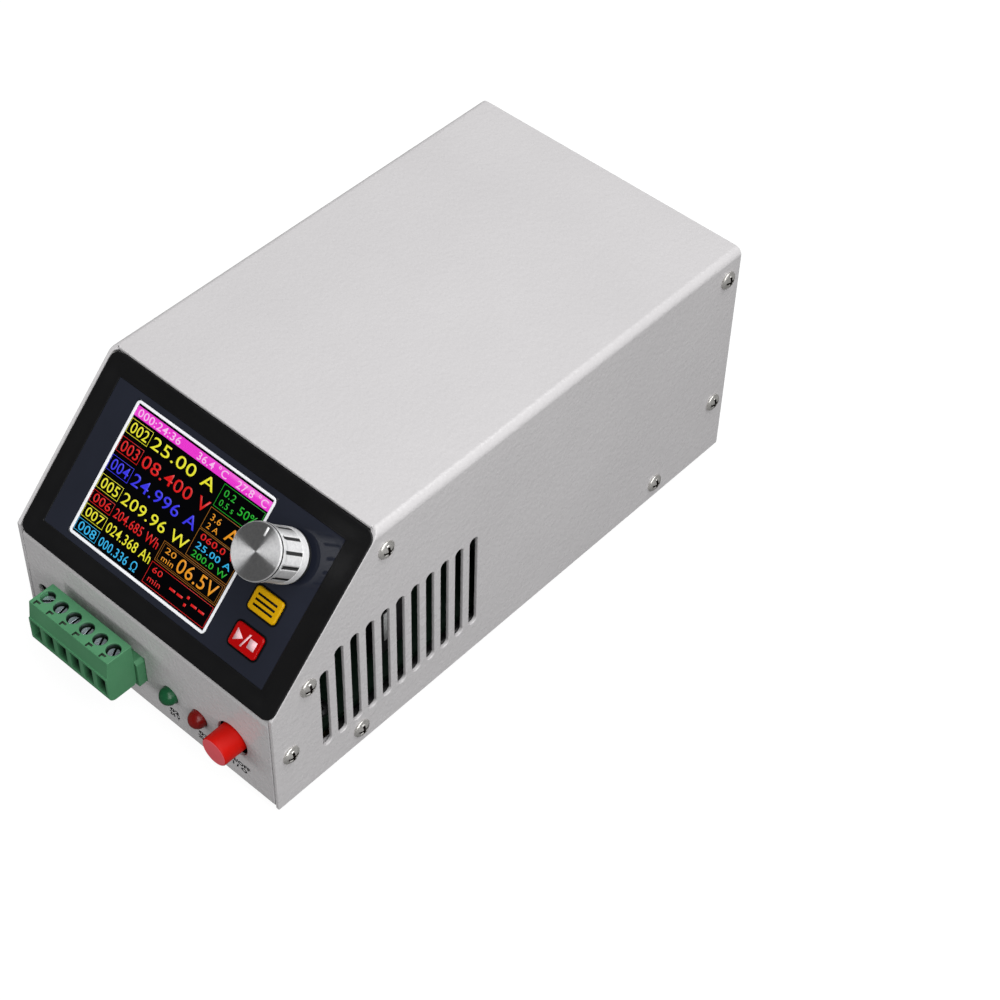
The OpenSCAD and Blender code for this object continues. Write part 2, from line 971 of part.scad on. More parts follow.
module header_pins() {
    color("khaki")
    place()
    for (i = [1 : term_count]) {
        translate([way_x(i) - pin_w / 2, pin_front, pin_z - pin_w / 2])
            cube([pin_w, header_back + 1.8 - pin_front, pin_w]);
        translate([way_x(i) - pin_w / 2, header_back + 0.8, board_top])
            cube([pin_w, pin_w, pin_z - board_top]);
    }
}

module terminal_plug() {
    color("mediumseagreen")
    place()
    difference() {
        union() {
            along_x(term_x - plug_w / 2, term_x + plug_w / 2)
                plug_side();
            translate([
                term_x - header_w / 2 + header_wall + nose_gap,
                -header_reach - eps,
                board_top + header_floor + nose_gap
            ])
                cube([
                    header_w - 2 * (header_wall + nose_gap),
                    nose_back + header_reach + eps,
                    header_h - 2 * (header_floor + nose_gap)
                ]);
        }
        for (i = [1 : term_count])
            translate([way_x(i), 0, 0])
                plug_way();
    }
}

// Plug seen from the side: round heel, ledge over the wire entries, leaning upper band.
module plug_side() {
    polygon([
        [-header_reach, plug_low + plug_heel], [-header_reach - plug_heel, plug_low],
        [-plug_reach + plug_round, plug_low], [-plug_reach, plug_low + plug_round],
        [-plug_reach, plug_break], [-plug_reach + plug_step, plug_break],
        [-plug_reach + plug_lean, plug_top], [-header_reach, plug_top]
    ]);
    translate([-plug_reach + plug_round, plug_low + plug_round])
        circle(plug_round);
}

// One way: wire entry, pin channel, screw hole and well, corner mark.
module plug_way() {
    translate([-entry_w / 2, -plug_reach - 1, entry_low])
        cube([entry_w, plug_reach + 1 + entry_back, entry_top - entry_low]);
    translate([-mark_long / 2 - mark_w, -clamp_out - mark_out - mark_w, plug_top - mark_deep]) {
        cube([mark_long, mark_w, 1]);
        translate([mark_long - mark_w, -mark_short, 0])
            cube([mark_w, mark_short + eps, 1]);
    }
    translate([-0.85, entry_back - 1, pin_z - 1.1])
        cube([1.7, nose_back - entry_back + 2, 2.2]);
    translate([0, -clamp_out, entry_top - 1])
        cylinder(r = clamp_r + slide_gap, h = plug_top - entry_top);
    translate([0, -clamp_out, clamp_seat])
        cylinder(r = well_r, h = plug_top - clamp_seat + 1);
}

module plug_contacts() {
    color("khaki")
    place()
    for (i = [1 : term_count])
        translate([way_x(i) - 0.7, entry_back, pin_z + pin_w / 2 + 0.2])
            cube([1.4, nose_back - entry_back - 0.4, 0.3]);
}

module clamp_screw(i) {
    color("lightgray")
    place()
    translate([way_x(i), -clamp_out, clamp_seat])
    difference() {
        union() {
            cylinder(r = clamp_head_r, h = clamp_head_h);
            translate([0, 0, clamp_tip - clamp_seat])
                cylinder(r = clamp_r, h = clamp_seat - clamp_tip);
        }
        rotate(20 + 37 * i)
            translate([-clamp_head_r - 1, -0.3, clamp_head_h - 0.8])
                cube([2 * clamp_head_r + 2, 0.6, 2]);
    }
}

module clamp_cage(i) {
    color("gold")
    place()
    translate([way_x(i), -clamp_out, cage_low])
    difference() {
        translate([-cage_w / 2, -cage_d / 2, 0])
            cube([cage_w, cage_d, cage_h]);
        translate([-cage_w / 2 + cage_t, -cage_d, cage_t])
            cube([cage_w - 2 * cage_t, 2 * cage_d, cage_h - 2 * cage_t]);
        translate([0, 0, cage_h - cage_t - eps])
            cylinder(r = clamp_r + slide_gap, h = cage_h);
    }
}

// Lamps: round lens with a rim behind the wall and two bent leads.
module lamp(x) {
    place()
    translate([x, 0, lamp_z])
    rotate([90, 0, 0]) {
        translate([0, 0, -front_y - sheet_t - 1.2])
            cylinder(r = lamp_r, h = lamp_reach - lamp_r + front_y + sheet_t + 1.2);
        translate([0, 0, -front_y - sheet_t - 1.2])
            cylinder(r = lamp_r + lamp_rim, h = 1);
        translate([0, 0, lamp_reach - lamp_r])
            sphere(lamp_r);
    }
}

module green_lamp() {
    color("limegreen")
    lamp(lamp_x1);
}

module red_lamp() {
    color("red")
    lamp(lamp_x2);
}

module lamp_leads() {
    color("silver")
    place()
    for (x = [lamp_x1, lamp_x2])
        for (s = [-1, 1])
            translate([x + s * lead_x - lead_w / 2, 0, 0]) {
                translate([0, front_y + sheet_t + 1.2, lamp_z - lead_w / 2])
                    cube([lead_w, lead_back - front_y - sheet_t - 1.2, lead_w]);
                translate([0, lead_back - lead_w, board_top])
                    cube([lead_w, lead_w, lamp_z - board_top]);
            }
}

// Latching power button.
module power_button() {
    color("red")
    place()
    translate([power_x, 0, power_z])
    rotate([90, 0, 0])
    difference() {
        rotate_extrude()
            polygon([
                [0, -power_cap_back], [power_r, -power_cap_back],
                [power_r - power_draft, power_reach - power_edge],
                [power_r - power_draft - power_edge, power_reach], [0, power_reach]
            ]);
        translate([-stick_w / 2 - eps, -stick_w / 2 - eps, -power_cap_back - 1])
            cube([stick_w + 2 * eps, stick_w + 2 * eps, power_reach * 0.6 + 1]);
    }
}

module power_stick() {
    color("white")
    place()
    translate([power_x - stick_w / 2, power_cap_back - power_reach * 0.6, power_z - stick_w / 2])
        cube([stick_w, stick_back - power_cap_back + power_reach * 0.6, stick_w]);
}

module power_switch() {
    color("black")
    place()
    difference() {
        translate([power_x - power_w / 2, power_front, board_top])
            cube([power_w, power_back - power_front, power_z + power_w / 2 - board_top]);
        translate([power_x - stick_w / 2 - 0.2, power_front - 1, power_z - stick_w / 2 - 0.2])
            cube([stick_w + 0.4, power_back - 0.5 - power_front + 1, stick_w + 0.4]);
    }
}

// Main board on pressed-in posts.
module post_points() {
    for (sx = [-1, 1])
        for (y = post_ys)
            translate([sx * post_x, y])
                children();
}

module sink_points() {
    for (sx = [-1, 1])
        for (y = [sink_y0 + sink_screw_in, board_y1 - sink_screw_in])
            translate([fan_x + sx * sink_screw_x, y])
                children();
}

module power_board() {
    color("darkgreen")
    place()
    along_z(board_top - pcb_t, board_top)
        difference() {
            translate([-board_w / 2, board_y0])
                square([board_w, board_y1 - board_y0]);
            post_points()
                circle(screw_r + thread_gap);
            sink_points()
                circle(screw_r + thread_gap);
        }
}

module board_posts() {
    color("khaki")
    place()
    post_points()
        difference() {
            translate([0, 0, sheet_t])
                hex_bar(post_af, board_top - pcb_t - sheet_t);
            translate([0, 0, sheet_t + 1])
                cylinder(r = screw_r + thread_gap, h = board_top);
        }
}

module board_screws() {
    color("lightsteelblue")
    place()
    post_points()
        translate([0, 0, board_top])
            pan_screw(screw_r, board_screw_l, head_r, head_h);
}

module heat_sink() {
    color("silver")
    place()
    difference() {
        along_y(sink_y0, board_y1 + 2)
            translate([fan_x - sink_w / 2, sink_low]) {
                square([sink_w, sink_base]);
                for (i = [0 : fin_count - 1])
                    translate([i * (sink_w - fin_t) / (fin_count - 1), 0])
                        square([fin_t, sink_top - sink_low]);
            }
        sink_points()
            translate([0, 0, sink_low - 1])
                cylinder(r = screw_r + thread_gap, h = sink_base);
    }
}

module sink_screws() {
    color("lightsteelblue")
    place()
    sink_points()
        translate([0, 0, board_top - pcb_t])
            rotate([180, 0, 0])
                pan_screw(screw_r, pcb_t + mos_t + sink_screw_grip, sink_screw_r, head_h);
}

module power_transistors() {
    color("black")
    place()
    for (sx = [-1, 1])
        for (row = mos_rows)
            translate([fan_x + sx * mos_x - mos_w / 2, sink_y0 + row, board_top])
                cube([mos_w, mos_l, mos_t]);
}

module capacitors() {
    color("darkslateblue")
    place()
    for (in = cap_ins)
        for (back = cap_backs)
            translate([in - board_w / 2, sink_y0 - back, board_top])
                cylinder(r = cap_r, h = cap_h);
}

module shunt_strip() {
    color("peru")
    place()
    along_y(shunt_y, shunt_y + shunt_w)
        translate([shunt_x, board_top])
            difference() {
                square([shunt_l, shunt_h]);
                translate([shunt_t, -shunt_t])
                    square([shunt_l - 2 * shunt_t, shunt_h]);
            }
}

module regulator() {
    color("silver")
    place()
    translate([board_w / 2 - reg_in, reg_y, board_top])
        difference() {
            union() {
                translate([0, -reg_w / 2, reg_stand])
                    cube([reg_case_t, reg_w, reg_case_h]);
                translate([reg_case_t - reg_tab_t, -reg_w / 2, reg_stand])
                    cube([reg_tab_t, reg_w, reg_tab_h]);
                for (i = [-1 : 1])
                    translate([reg_tab_t, i * reg_lead_pitch - reg_lead_w / 2, 0])
                        cube([reg_lead_w, reg_lead_w, reg_stand + 1]);
            }
            translate([0, 0, reg_stand + reg_tab_h - 3])
                rotate([0, 90, 0])
                    cylinder(r = 1.8, h = 2 * reg_case_t);
        }
}

// Fan in its own frame: inlet on z = 0, outlet against the rear wall.
module at_fan() {
    place()
        translate([fan_x, fan_y, fan_z])
            rotate([-90, 0, 0])
                children();
}

module fan_frame() {
    color("dimgray")
    at_fan()
    difference() {
        union() {
            for (z = [0, fan_t - 3.2])
                along_z(z, z + 3.2)
                    difference() {
                        round_rect(fan_size, fan_size, 4);
                        circle(fan_r);
                    }
            along_z(0, fan_t)
                difference() {
                    circle(fan_size / 2 - 0.2);
                    circle(fan_r);
                }
            along_z(fan_t - 2.5, fan_t)
                circle(hub_r - 0.5);
            for (a = [30, 150, 270])
                rotate(a)
                    translate([hub_r - 1, -1.6, fan_t - 2.5])
                        cube([fan_r - hub_r + 1.4, 3.2, 2.5]);
            along_z(6, fan_t - 1)
                circle(3.5);
        }
        for (sx = [-1, 1])
            for (sy = [-1, 1])
                translate([sx * fan_pitch / 2, sy * fan_pitch / 2, -1])
                    cylinder(r = fan_hole_r, h = fan_t + 2);
        translate([0, 0, axle_seat])
            cylinder(r = axle_r + shaft_gap, h = fan_t - axle_stop - axle_seat);
    }
}

module fan_rotor() {
    color("black")
    at_fan() {
        along_z(1, 3)
            circle(hub_r);
        along_z(2, fan_t - rotor_back)
            difference() {
                circle(hub_r);
                circle(hub_r - 1.8);
            }
        along_z(2, fan_t - rotor_back)
            circle(axle_r);
        intersection() {
            for (i = [0 : blade_count - 1])
                rotate(i * 360 / blade_count)
                    translate([hub_r - 1, 0, 8.5])
                        rotate([blade_a, 0, 0])
                            translate([0, -blade_t / 2, -blade_reach])
                                cube([fan_r, blade_t, 2 * blade_reach]);
            along_z(1.5, 15)
                difference() {
                    circle(fan_r - 1);
                    circle(hub_r - 0.9);
                }
        }
    }
}

module fan_screws() {
    color("lightsteelblue")
    place()
    for (sx = [-1, 1])
        for (sz = [-1, 1])
            translate([fan_x + sx * fan_pitch / 2, rear_y, fan_z + sz * fan_pitch / 2])
                rotate([-90, 0, 0])
                    pan_screw(fan_shank_r, fan_shank_l, fan_head_r, fan_head_h);
}

// Power inlet through the rear wall.
module dc_jack() {
    color("black")
    place()
    translate([jack_x, rear_y, jack_z])
    rotate([-90, 0, 0])
    difference() {
        union() {
            cylinder(r = jack_lip_r, h = jack_lip_t);
            translate([0, 0, jack_back - rear_y])
                cylinder(r = jack_r, h = rear_y - jack_back);
        }
        translate([0, 0, -jack_bore_deep])
            cylinder(r = jack_bore, h = jack_bore_deep + jack_lip_t + 1);
        translate([0, 0, jack_back - rear_y - 1])
            cylinder(r = jack_pin_r + eps, h = rear_y - jack_back + 1);
    }
}

module dc_jack_pin() {
    color("gold")
    place()
    translate([jack_x, rear_y, jack_z])
    rotate([-90, 0, 0])
    translate([0, 0, jack_back - rear_y])
        cylinder(r = jack_pin_r, h = rear_y - jack_back - 0.6);
}

module dc_jack_nut() {
    color("silver")
    place()
    translate([jack_x, wall_in, jack_z])
    rotate([90, 0, 0])
    difference() {
        hex_bar(nut_af, nut_t);
        translate([0, 0, -1])
            cylinder(r = jack_r + fit_gap, h = nut_t + 2);
    }
}

// Inside wiring: sockets, flat ribbon to the display, leads to fan and inlet.
module link_sockets() {
    color("ivory")
    on_panel()
        translate([link_x - link_w / 2 - 1, -plugs_t / 2, skirt_low - pcb_t - plugs_t])
            cube([link_w + 2, plugs_t, plugs_t]);
    color("ivory")
    place() {
        translate([link_x - link_w / 2 - 1, link_y - plugs_t / 2, board_top])
            cube([link_w + 2, plugs_t, plugs_h]);
        translate([fan_link_x - 2.5, fan_link_y, board_top])
            cube([5, plugs_t, plugs_h]);
        translate([jack_x - 2.5, fan_link_y - 16, board_top])
            cube([5, plugs_t, plugs_h]);
    }
}

module ribbon_link() {
    color("lightgray")
    place()
    along_x(link_x - link_w / 2, link_x + link_w / 2)
        folded([
            [link_y, board_top + plugs_h],
            [link_y, ribbon_start()[1] - (link_y - ribbon_start()[0]) / tan(slope_a)],
            ribbon_start()
        ], link_t, 5);
}

function ribbon_start() =
    slope_foot + slope_dir * (slope_len / 2 + bezel_shift) + slope_in * (pcb_t + plugs_t - skirt_low);

module lead_wires() {
    color("firebrick")
    place() {
        along_z(board_top + 2, board_top + 4.4)
            folded([
                [fan_x - fan_size / 2, fan_y + 1.6],
                [fan_link_x - 0.6, fan_y + 1.6],
                [fan_link_x - 0.6, fan_link_y + plugs_t]
            ], 1.2, 3);
        along_x(jack_x - 1.2, jack_x + 1.2)
            folded([
                [jack_back, jack_z],
                [fan_link_y - 14, jack_z],
                [fan_link_y - 14, board_top + plugs_h]
            ], 1.2, 3);
    }
}

top_cover();
chassis();
cover_screws();
rubber_feet();
bezel();
panel_film();
lcd_frame();
lcd_panel();
display_board();
display_screws();
encoder_body();
encoder_plunger();
encoder_shaft();
knob();
knob_insert();
menu_key();
menu_stem();
run_key();
run_stem();
key_switches();
terminal_header();
header_pins();
terminal_plug();
plug_contacts();
for (i = [1 : term_count])
    clamp_screw(i);
for (i = [1 : term_count])
    clamp_cage(i);
green_lamp();
red_lamp();
lamp_leads();
power_button();
power_stick();
power_switch();
power_board();
board_posts();
board_screws();
heat_sink();
sink_screws();
power_transistors();
capacitors();
shunt_strip();
regulator();
fan_frame();
fan_rotor();
fan_screws();
dc_jack();
dc_jack_pin();
dc_jack_nut();
link_sockets();
ribbon_link();
lead_wires();
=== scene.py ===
import json
import math

import bmesh
import bpy
import numpy as np
from mathutils import Matrix

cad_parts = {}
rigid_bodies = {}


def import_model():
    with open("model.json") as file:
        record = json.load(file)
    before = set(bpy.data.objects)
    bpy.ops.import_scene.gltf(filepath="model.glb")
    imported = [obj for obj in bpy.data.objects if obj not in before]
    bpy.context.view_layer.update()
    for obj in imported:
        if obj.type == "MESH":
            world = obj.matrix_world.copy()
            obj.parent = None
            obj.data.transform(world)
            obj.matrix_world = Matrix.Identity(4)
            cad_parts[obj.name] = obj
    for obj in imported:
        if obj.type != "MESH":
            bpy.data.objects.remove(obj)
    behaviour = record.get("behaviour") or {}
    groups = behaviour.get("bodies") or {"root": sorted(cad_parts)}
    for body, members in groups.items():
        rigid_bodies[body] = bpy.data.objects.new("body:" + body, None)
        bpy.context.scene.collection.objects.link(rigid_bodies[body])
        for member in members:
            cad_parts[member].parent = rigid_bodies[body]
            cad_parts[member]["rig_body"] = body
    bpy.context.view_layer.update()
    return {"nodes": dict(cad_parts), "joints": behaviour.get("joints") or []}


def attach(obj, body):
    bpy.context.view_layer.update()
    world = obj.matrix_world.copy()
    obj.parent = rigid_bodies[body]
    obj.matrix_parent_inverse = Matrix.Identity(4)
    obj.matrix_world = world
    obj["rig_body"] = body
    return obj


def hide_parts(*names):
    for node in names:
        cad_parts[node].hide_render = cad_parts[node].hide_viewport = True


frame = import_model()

mm = 0.001
scene = bpy.context.scene
nodes = frame["nodes"]
joints = {joint["name"]: joint for joint in frame["joints"]}
slotOf = {name: node.material_slots[0].material.name for name, node in nodes.items()}
bodyOf = {name: node["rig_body"] for name, node in nodes.items()}


# Places: every face of the case has rows right, up and out, and a zero point on it

def meshPoints(mesh):      # one row for each vertex
    flat = np.empty(3 * len(mesh.vertices))
    mesh.vertices.foreach_get("co", flat)
    return flat.reshape(-1, 3)


def nodePoints(name):      # vertices of a CAD node, metres
    return meshPoints(nodes[name].data)


def axesFacing(out, right):
    out = np.array(out, float)
    return np.stack([np.array(right, float), np.cross(out, right), out])


def spanOf(name, axes, origin):      # lowest and highest corner of a node on a face, mm
    local = (nodePoints(name) - origin) @ axes.T / mm
    return local.min(0), local.max(0)


def placed(points, axes, origin):      # mm on a face to metres in the shared frame
    return origin + np.asarray(points) * mm @ axes


panelAxes = axesFacing(joints["knob_turn"]["axis"], (1, 0, 0))
filmLow, filmHigh = spanOf("panel_film", panelAxes, np.zeros(3))
panelOrigin = np.append((filmLow + filmHigh)[:2] / 2, filmHigh[2]) * mm @ panelAxes
frontAxes = axesFacing((0, -1, 0), (1, 0, 0))
frontOrigin = np.array([0, nodePoints("chassis")[:, 1].min(), 0])


# Shapes: points on a grid of rows and columns, worked out as whole arrays

def unit(vector):
    return vector / np.linalg.norm(vector)


def filleted(line, radius, steps=6):
    # Each inner corner becomes an arc tangent to both sides, swept from one tangent point to the other.
    line = np.array(line, float)
    made = [line[:1]]
    for before, corner, after, r in zip(line, line[1:], line[2:], np.broadcast_to(radius, len(line))[1:]):
        u, v = unit(before - corner), unit(after - corner)
        half = math.acos(np.clip(u @ v, -1, 1)) / 2
        centre = corner + unit(u + v) * r / math.sin(half)
        start = corner + u * r / math.tan(half) - centre
        end = corner + v * r / math.tan(half) - centre
        turn = math.pi - 2 * half
        t = np.linspace(0, 1, steps + 1)[:, None] * turn
        made.append(centre + (np.sin(turn - t) * start + np.sin(t) * end) / math.sin(turn))
    return np.concatenate(made + [line[-1:]])


def closedRings(rings):
    # Quads join neighbouring rings, and a fan closes the first and last ring at its middle point.
    rows, columns = rings.shape[:2]
    i, j = np.meshgrid(np.arange(rows - 1), np.arange(columns), indexing="ij")
    k = (j + 1) % columns
    quads = np.stack([i * columns + j, i * columns + k, (i + 1) * columns + k, (i + 1) * columns + j], -1)
    a = np.arange(columns)
    b = (a + 1) % columns
    top = (rows - 1) * columns
    lowFan = np.stack([np.full(columns, rows * columns), b, a], -1)
    highFan = np.stack([np.full(columns, rows * columns + 1), top + a, top + b], -1)
    points = np.concatenate([rings.reshape(-1, 3), rings[:1].mean(1), rings[-1:].mean(1)])
    length = np.append(0, np.cumsum(np.linalg.norm(np.diff(rings[:, 0], axis=0), axis=1)))
    u, v = np.stack([j, j + 1, j + 1, j], -1) / columns, np.stack([length[i]] * 2 + [length[i + 1]] * 2, -1)
    fanU = np.stack([a + 0.5, a, a + 1], -1) / columns
    fanLow = np.stack([fanU[:, [0, 2, 1]], np.zeros((columns, 3))], -1)
    fanHigh = np.stack([fanU, np.full((columns, 3), length[-1])], -1)
    uvs = np.concatenate([np.stack([u, v], -1).reshape(-1, 2), fanLow.reshape(-1, 2), fanHigh.reshape(-1, 2)])
    return points, quads.reshape(-1, 4).tolist() + lowFan.tolist() + highFan.tolist(), uvs


def wrappedRings(rings):
    # Quads join neighbouring rings and close both ways round, so the surface has no ends.
    rows, columns = rings.shape[:2]
    i, j = np.meshgrid(np.arange(rows), np.arange(columns), indexing="ij")
    k, n = (j + 1) % columns, (i + 1) % rows
    quads = np.stack([i * columns + j, i * columns + k, n * columns + k, n * columns + j], -1)
    u, v = np.stack([j, j + 1, j + 1, j], -1) / columns, np.stack([i, i, i + 1, i + 1], -1) / rows
    return rings.reshape(-1, 3), quads.reshape(-1, 4).tolist(), np.stack([u, v], -1).reshape(-1, 2)


def turnedRings(profile, angles, dent=0.0):
    # point(i, j) = ((r_i - dent_ij) cos a_j, (r_i - dent_ij) sin a_j, h_i)
    r = np.asarray(profile)[:, :1] - dent
    h = np.asarray(profile)[:, 1:] + np.zeros(len(angles))
    return np.stack([r * np.cos(angles), r * np.sin(angles), h], -1)


def roundedRing(width, height, radius, perCorner):
    # Four quarter arcs about the corner centres, counter-clockwise from the right.
    turn = np.linspace(0, math.pi / 2, perCorner) + np.arange(4)[:, None] * math.pi / 2
    x = np.array([1, -1, -1, 1])[:, None] * (width / 2 - radius) + radius * np.cos(turn)
    y = np.array([1, 1, -1, -1])[:, None] * (height / 2 - radius) + radius * np.sin(turn)
    return np.stack([x.ravel(), y.ravel()], -1)


def circleAngles(count):
    return np.arange(count) * 2 * math.pi / count


def addPiece(mesh, finish, body, replaced=()):      # finish is a name, and the piece has its mesh's
    mesh.polygons.foreach_set("use_smooth", np.ones(len(mesh.polygons), bool))
    mesh.materials.append(finishes[finish])
    piece = bpy.data.objects.new(mesh.name, mesh)
    scene.collection.objects.link(piece)
    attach(piece, body)
    if replaced:
        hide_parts(*replaced)
    return piece


def newPiece(name, shape, axes, origin, finish, body, replaced=()):
    points, faces, uvs = shape
    mesh = bpy.data.meshes.new(name)
    mesh.from_pydata(placed(points, axes, origin).tolist(), [], faces)
    mesh.uv_layers.new(name="surface").data.foreach_set("uv", np.ravel(uvs))
    return addPiece(mesh, finish, body, replaced)


def evenNormals(piece):      # flats stay flat and rounded edges carry the shading
    piece.modifiers.new("evenNormals", "WEIGHTED_NORMAL").keep_sharp = True
    return piece


def markPoints(piece, label, values):      # one number for each point, for the material to read
    piece.data.attributes.new(label, "FLOAT", "POINT").data.foreach_set("value", np.ravel(values))


copyLook = {"merge": 0.0005, "flat": 0.5, "sharp": 32, "segments": 3}      # mm, degrees, degrees, steps


def mergedCopy(name, label, points, finish):
    # The triangles of a CAD node over the given points, with doubles merged and flats joined.
    source = nodes[name].data
    corners = np.empty(len(source.loops), int)
    source.loops.foreach_get("vertex_index", corners)
    mesh = bpy.data.meshes.new(label)
    mesh.from_pydata(points.tolist(), [], corners.reshape(-1, 3).tolist())
    work = bmesh.new()
    work.from_mesh(mesh)
    bmesh.ops.remove_doubles(work, verts=work.verts, dist=copyLook["merge"] * mm)
    flat = math.radians(copyLook["flat"])
    bmesh.ops.dissolve_limit(work, angle_limit=flat, verts=work.verts, edges=work.edges)
    work.to_mesh(mesh)
    work.free()
    return addPiece(mesh, finish, bodyOf[name], [name])


def turnedUpright(points, degrees):      # about the upright line through the middle of the points
    middle = (points.min(0) + points.max(0)) / 2
    c, s = math.cos(math.radians(degrees)), math.sin(math.radians(degrees))
    return middle + (points - middle) @ np.array([(c, s, 0), (-s, c, 0), (0, 0, 1)])


def softened(name, width, finish, points):      # a copy with its hard edges rounded
    piece = mergedCopy(name, name + "_soft", points, finish)
    edge = piece.modifiers.new("softEdge", "BEVEL")
    edge.width = width * mm
    edge.segments = copyLook["segments"]
    edge.limit_method = "ANGLE"
    edge.angle_limit = math.radians(copyLook["sharp"])
    edge.use_clamp_overlap = False
    edge.loop_slide = False
    return evenNormals(piece)


# Finishes: effect groups give Shade, Gloss and Height, each material mixes its own values

def tint(red, green, blue):      # sRGB 0 to 255 to linear
    part = np.array([red, green, blue]) / 255
    return tuple(np.where(part <= 0.04045, part / 12.92, ((part + 0.055) / 1.055) ** 2.4)) + (1.0,)


def addNode(tree, kind, sockets=None, **settings):
    made = tree.nodes.new("ShaderNode" + kind)
    for key, value in settings.items():
        setattr(made, key, value)
    for key, value in (sockets or {}).items():
        if isinstance(value, bpy.types.NodeSocket):
            tree.links.new(value, made.inputs[key])
        else:
            made.inputs[key].default_value = value
    return made


def scaled(tree, value, factor):
    return addNode(tree, "Math", {0: value, 1: factor}, operation="MULTIPLY").outputs[0]


def noise(tree, vector, scale, detail=3.0, roughness=0.55):
    sockets = {"Vector": vector, "Scale": scale, "Detail": detail, "Roughness": roughness}
    return addNode(tree, "TexNoise", sockets).outputs["Fac"]


def blended(tree, factor, a, b):      # colour mix, a at 0 and b at 1
    return addNode(tree, "Mix", {0: factor, 6: a, 7: b}, data_type="RGBA").outputs[2]


def ranged(tree, value, low, high, fromLow=0.3, fromHigh=0.7):
    sockets = {"Value": value, "From Min": fromLow, "From Max": fromHigh, "To Min": low, "To Max": high}
    return addNode(tree, "MapRange", sockets).outputs["Result"]


def newGroup(name, inputs):
    tree = bpy.data.node_groups.new(name, "ShaderNodeTree")
    for label, kind, value in inputs:
        tree.interface.new_socket(label, in_out="INPUT", socket_type=kind).default_value = value
    for label in ("Shade", "Gloss", "Height"):
        tree.interface.new_socket(label, in_out="OUTPUT", socket_type="NodeSocketFloat")
    return tree, tree.nodes.new("NodeGroupInput").outputs, tree.nodes.new("NodeGroupOutput").inputs


def putOut(tree, put, shade, gloss, height):
    for label, value in (("Shade", shade), ("Gloss", gloss), ("Height", height)):
        tree.links.new(value, put[label])
    return tree


def pebbledCoat():      # powder coat: soft pebbles with slow swells under them
    tree, given, put = newGroup("pebbledCoat", [("Scale", "NodeSocketFloat", 1000.0)])
    place = addNode(tree, "TexCoord").outputs["Object"]
    bent = addNode(tree, "VectorMath", {0: place, 1: (0.0004, 0.0004, 0.0004)}, operation="ADD").outputs[0]
    cells = addNode(tree, "TexVoronoi", {"Vector": bent, "Scale": given["Scale"], "Smoothness": 0.7},
                    feature="SMOOTH_F1").outputs["Distance"]
    swell = noise(tree, place, scaled(tree, given["Scale"], 0.45), 2.0)
    height = addNode(tree, "Math", {0: cells, 1: 0.7, 2: swell}, operation="MULTIPLY_ADD").outputs[0]
    drift, speck = noise(tree, place, 22.0, 4.0), noise(tree, place, scaled(tree, given["Scale"], 2.2), 2.0)
    shade = addNode(tree, "Mix", {0: 0.5, 2: drift, 3: speck}).outputs[0]
    return putOut(tree, put, shade, noise(tree, place, scaled(tree, given["Scale"], 0.3)), height)


def mouldedGrain():      # moulded plastic and rubber: fine spark texture, slow colour drift, handling marks
    tree, given, put = newGroup("mouldedGrain", [("Scale", "NodeSocketFloat", 4000.0)])
    place = addNode(tree, "TexCoord").outputs["Object"]
    grain, drift = noise(tree, place, given["Scale"], 4.0, 0.65), noise(tree, place, 60.0, 3.0)
    return putOut(tree, put, drift, noise(tree, place, 160.0, 5.0, 0.6), grain)


def brushedLines():      # drawn or plated metal: noise stretched along one direction
    tree, given, put = newGroup("brushedLines", [
        ("Scale", "NodeSocketFloat", 3000.0), ("Stretch", "NodeSocketVector", (1.0, 0.05, 1.0))])
    place = addNode(tree, "TexCoord").outputs["Object"]
    drawn = addNode(tree, "VectorMath", {0: place, 1: given["Stretch"]}, operation="MULTIPLY").outputs[0]
    lines = noise(tree, drawn, given["Scale"], 3.0)
    return putOut(tree, put, noise(tree, place, 220.0, 3.0), lines, lines)


def spunLines():      # lathe lines: noise along the profile length of a turned piece, in mm
    tree, given, put = newGroup("spunLines", [("Scale", "NodeSocketFloat", 9.0)])
    place = addNode(tree, "TexCoord").outputs
    along = addNode(tree, "SeparateXYZ", {0: place["UV"]}).outputs["Y"]
    sockets = {"W": along, "Scale": given["Scale"], "Detail": 3.0}
    lines = addNode(tree, "TexNoise", sockets, noise_dimensions="1D").outputs["Fac"]
    mottle = noise(tree, place["Object"], 1300.0, 3.0)
    mottled = addNode(tree, "Mix", {0: 0.5, 2: lines, 3: mottle}).outputs[0]
    return putOut(tree, put, mottled, lines, lines)


def boardTraces():      # circuit board: square copper fields and thin tracks under the mask
    tree, given, put = newGroup("boardTraces", [("Scale", "NodeSocketFloat", 300.0)])
    place = addNode(tree, "TexCoord").outputs["Object"]
    fields = addNode(tree, "TexVoronoi", {"Vector": place, "Scale": given["Scale"]},
                     distance="CHEBYCHEV").outputs["Distance"]
    tracks = addNode(tree, "TexBrick", {
        "Vector": place, "Scale": scaled(tree, given["Scale"], 2.0), "Mortar Size": 0.12,
        "Color1": (0, 0, 0, 1), "Color2": (0.35, 0.35, 0.35, 1), "Mortar": (1, 1, 1, 1)}).outputs["Color"]
    pads = ranged(tree, fields, 1.0, 0.0, 0.28, 0.32)
    both = addNode(tree, "Math", {0: pads, 1: tracks}, operation="MAXIMUM").outputs[0]
    return putOut(tree, put, both, noise(tree, place, 300.0), both)


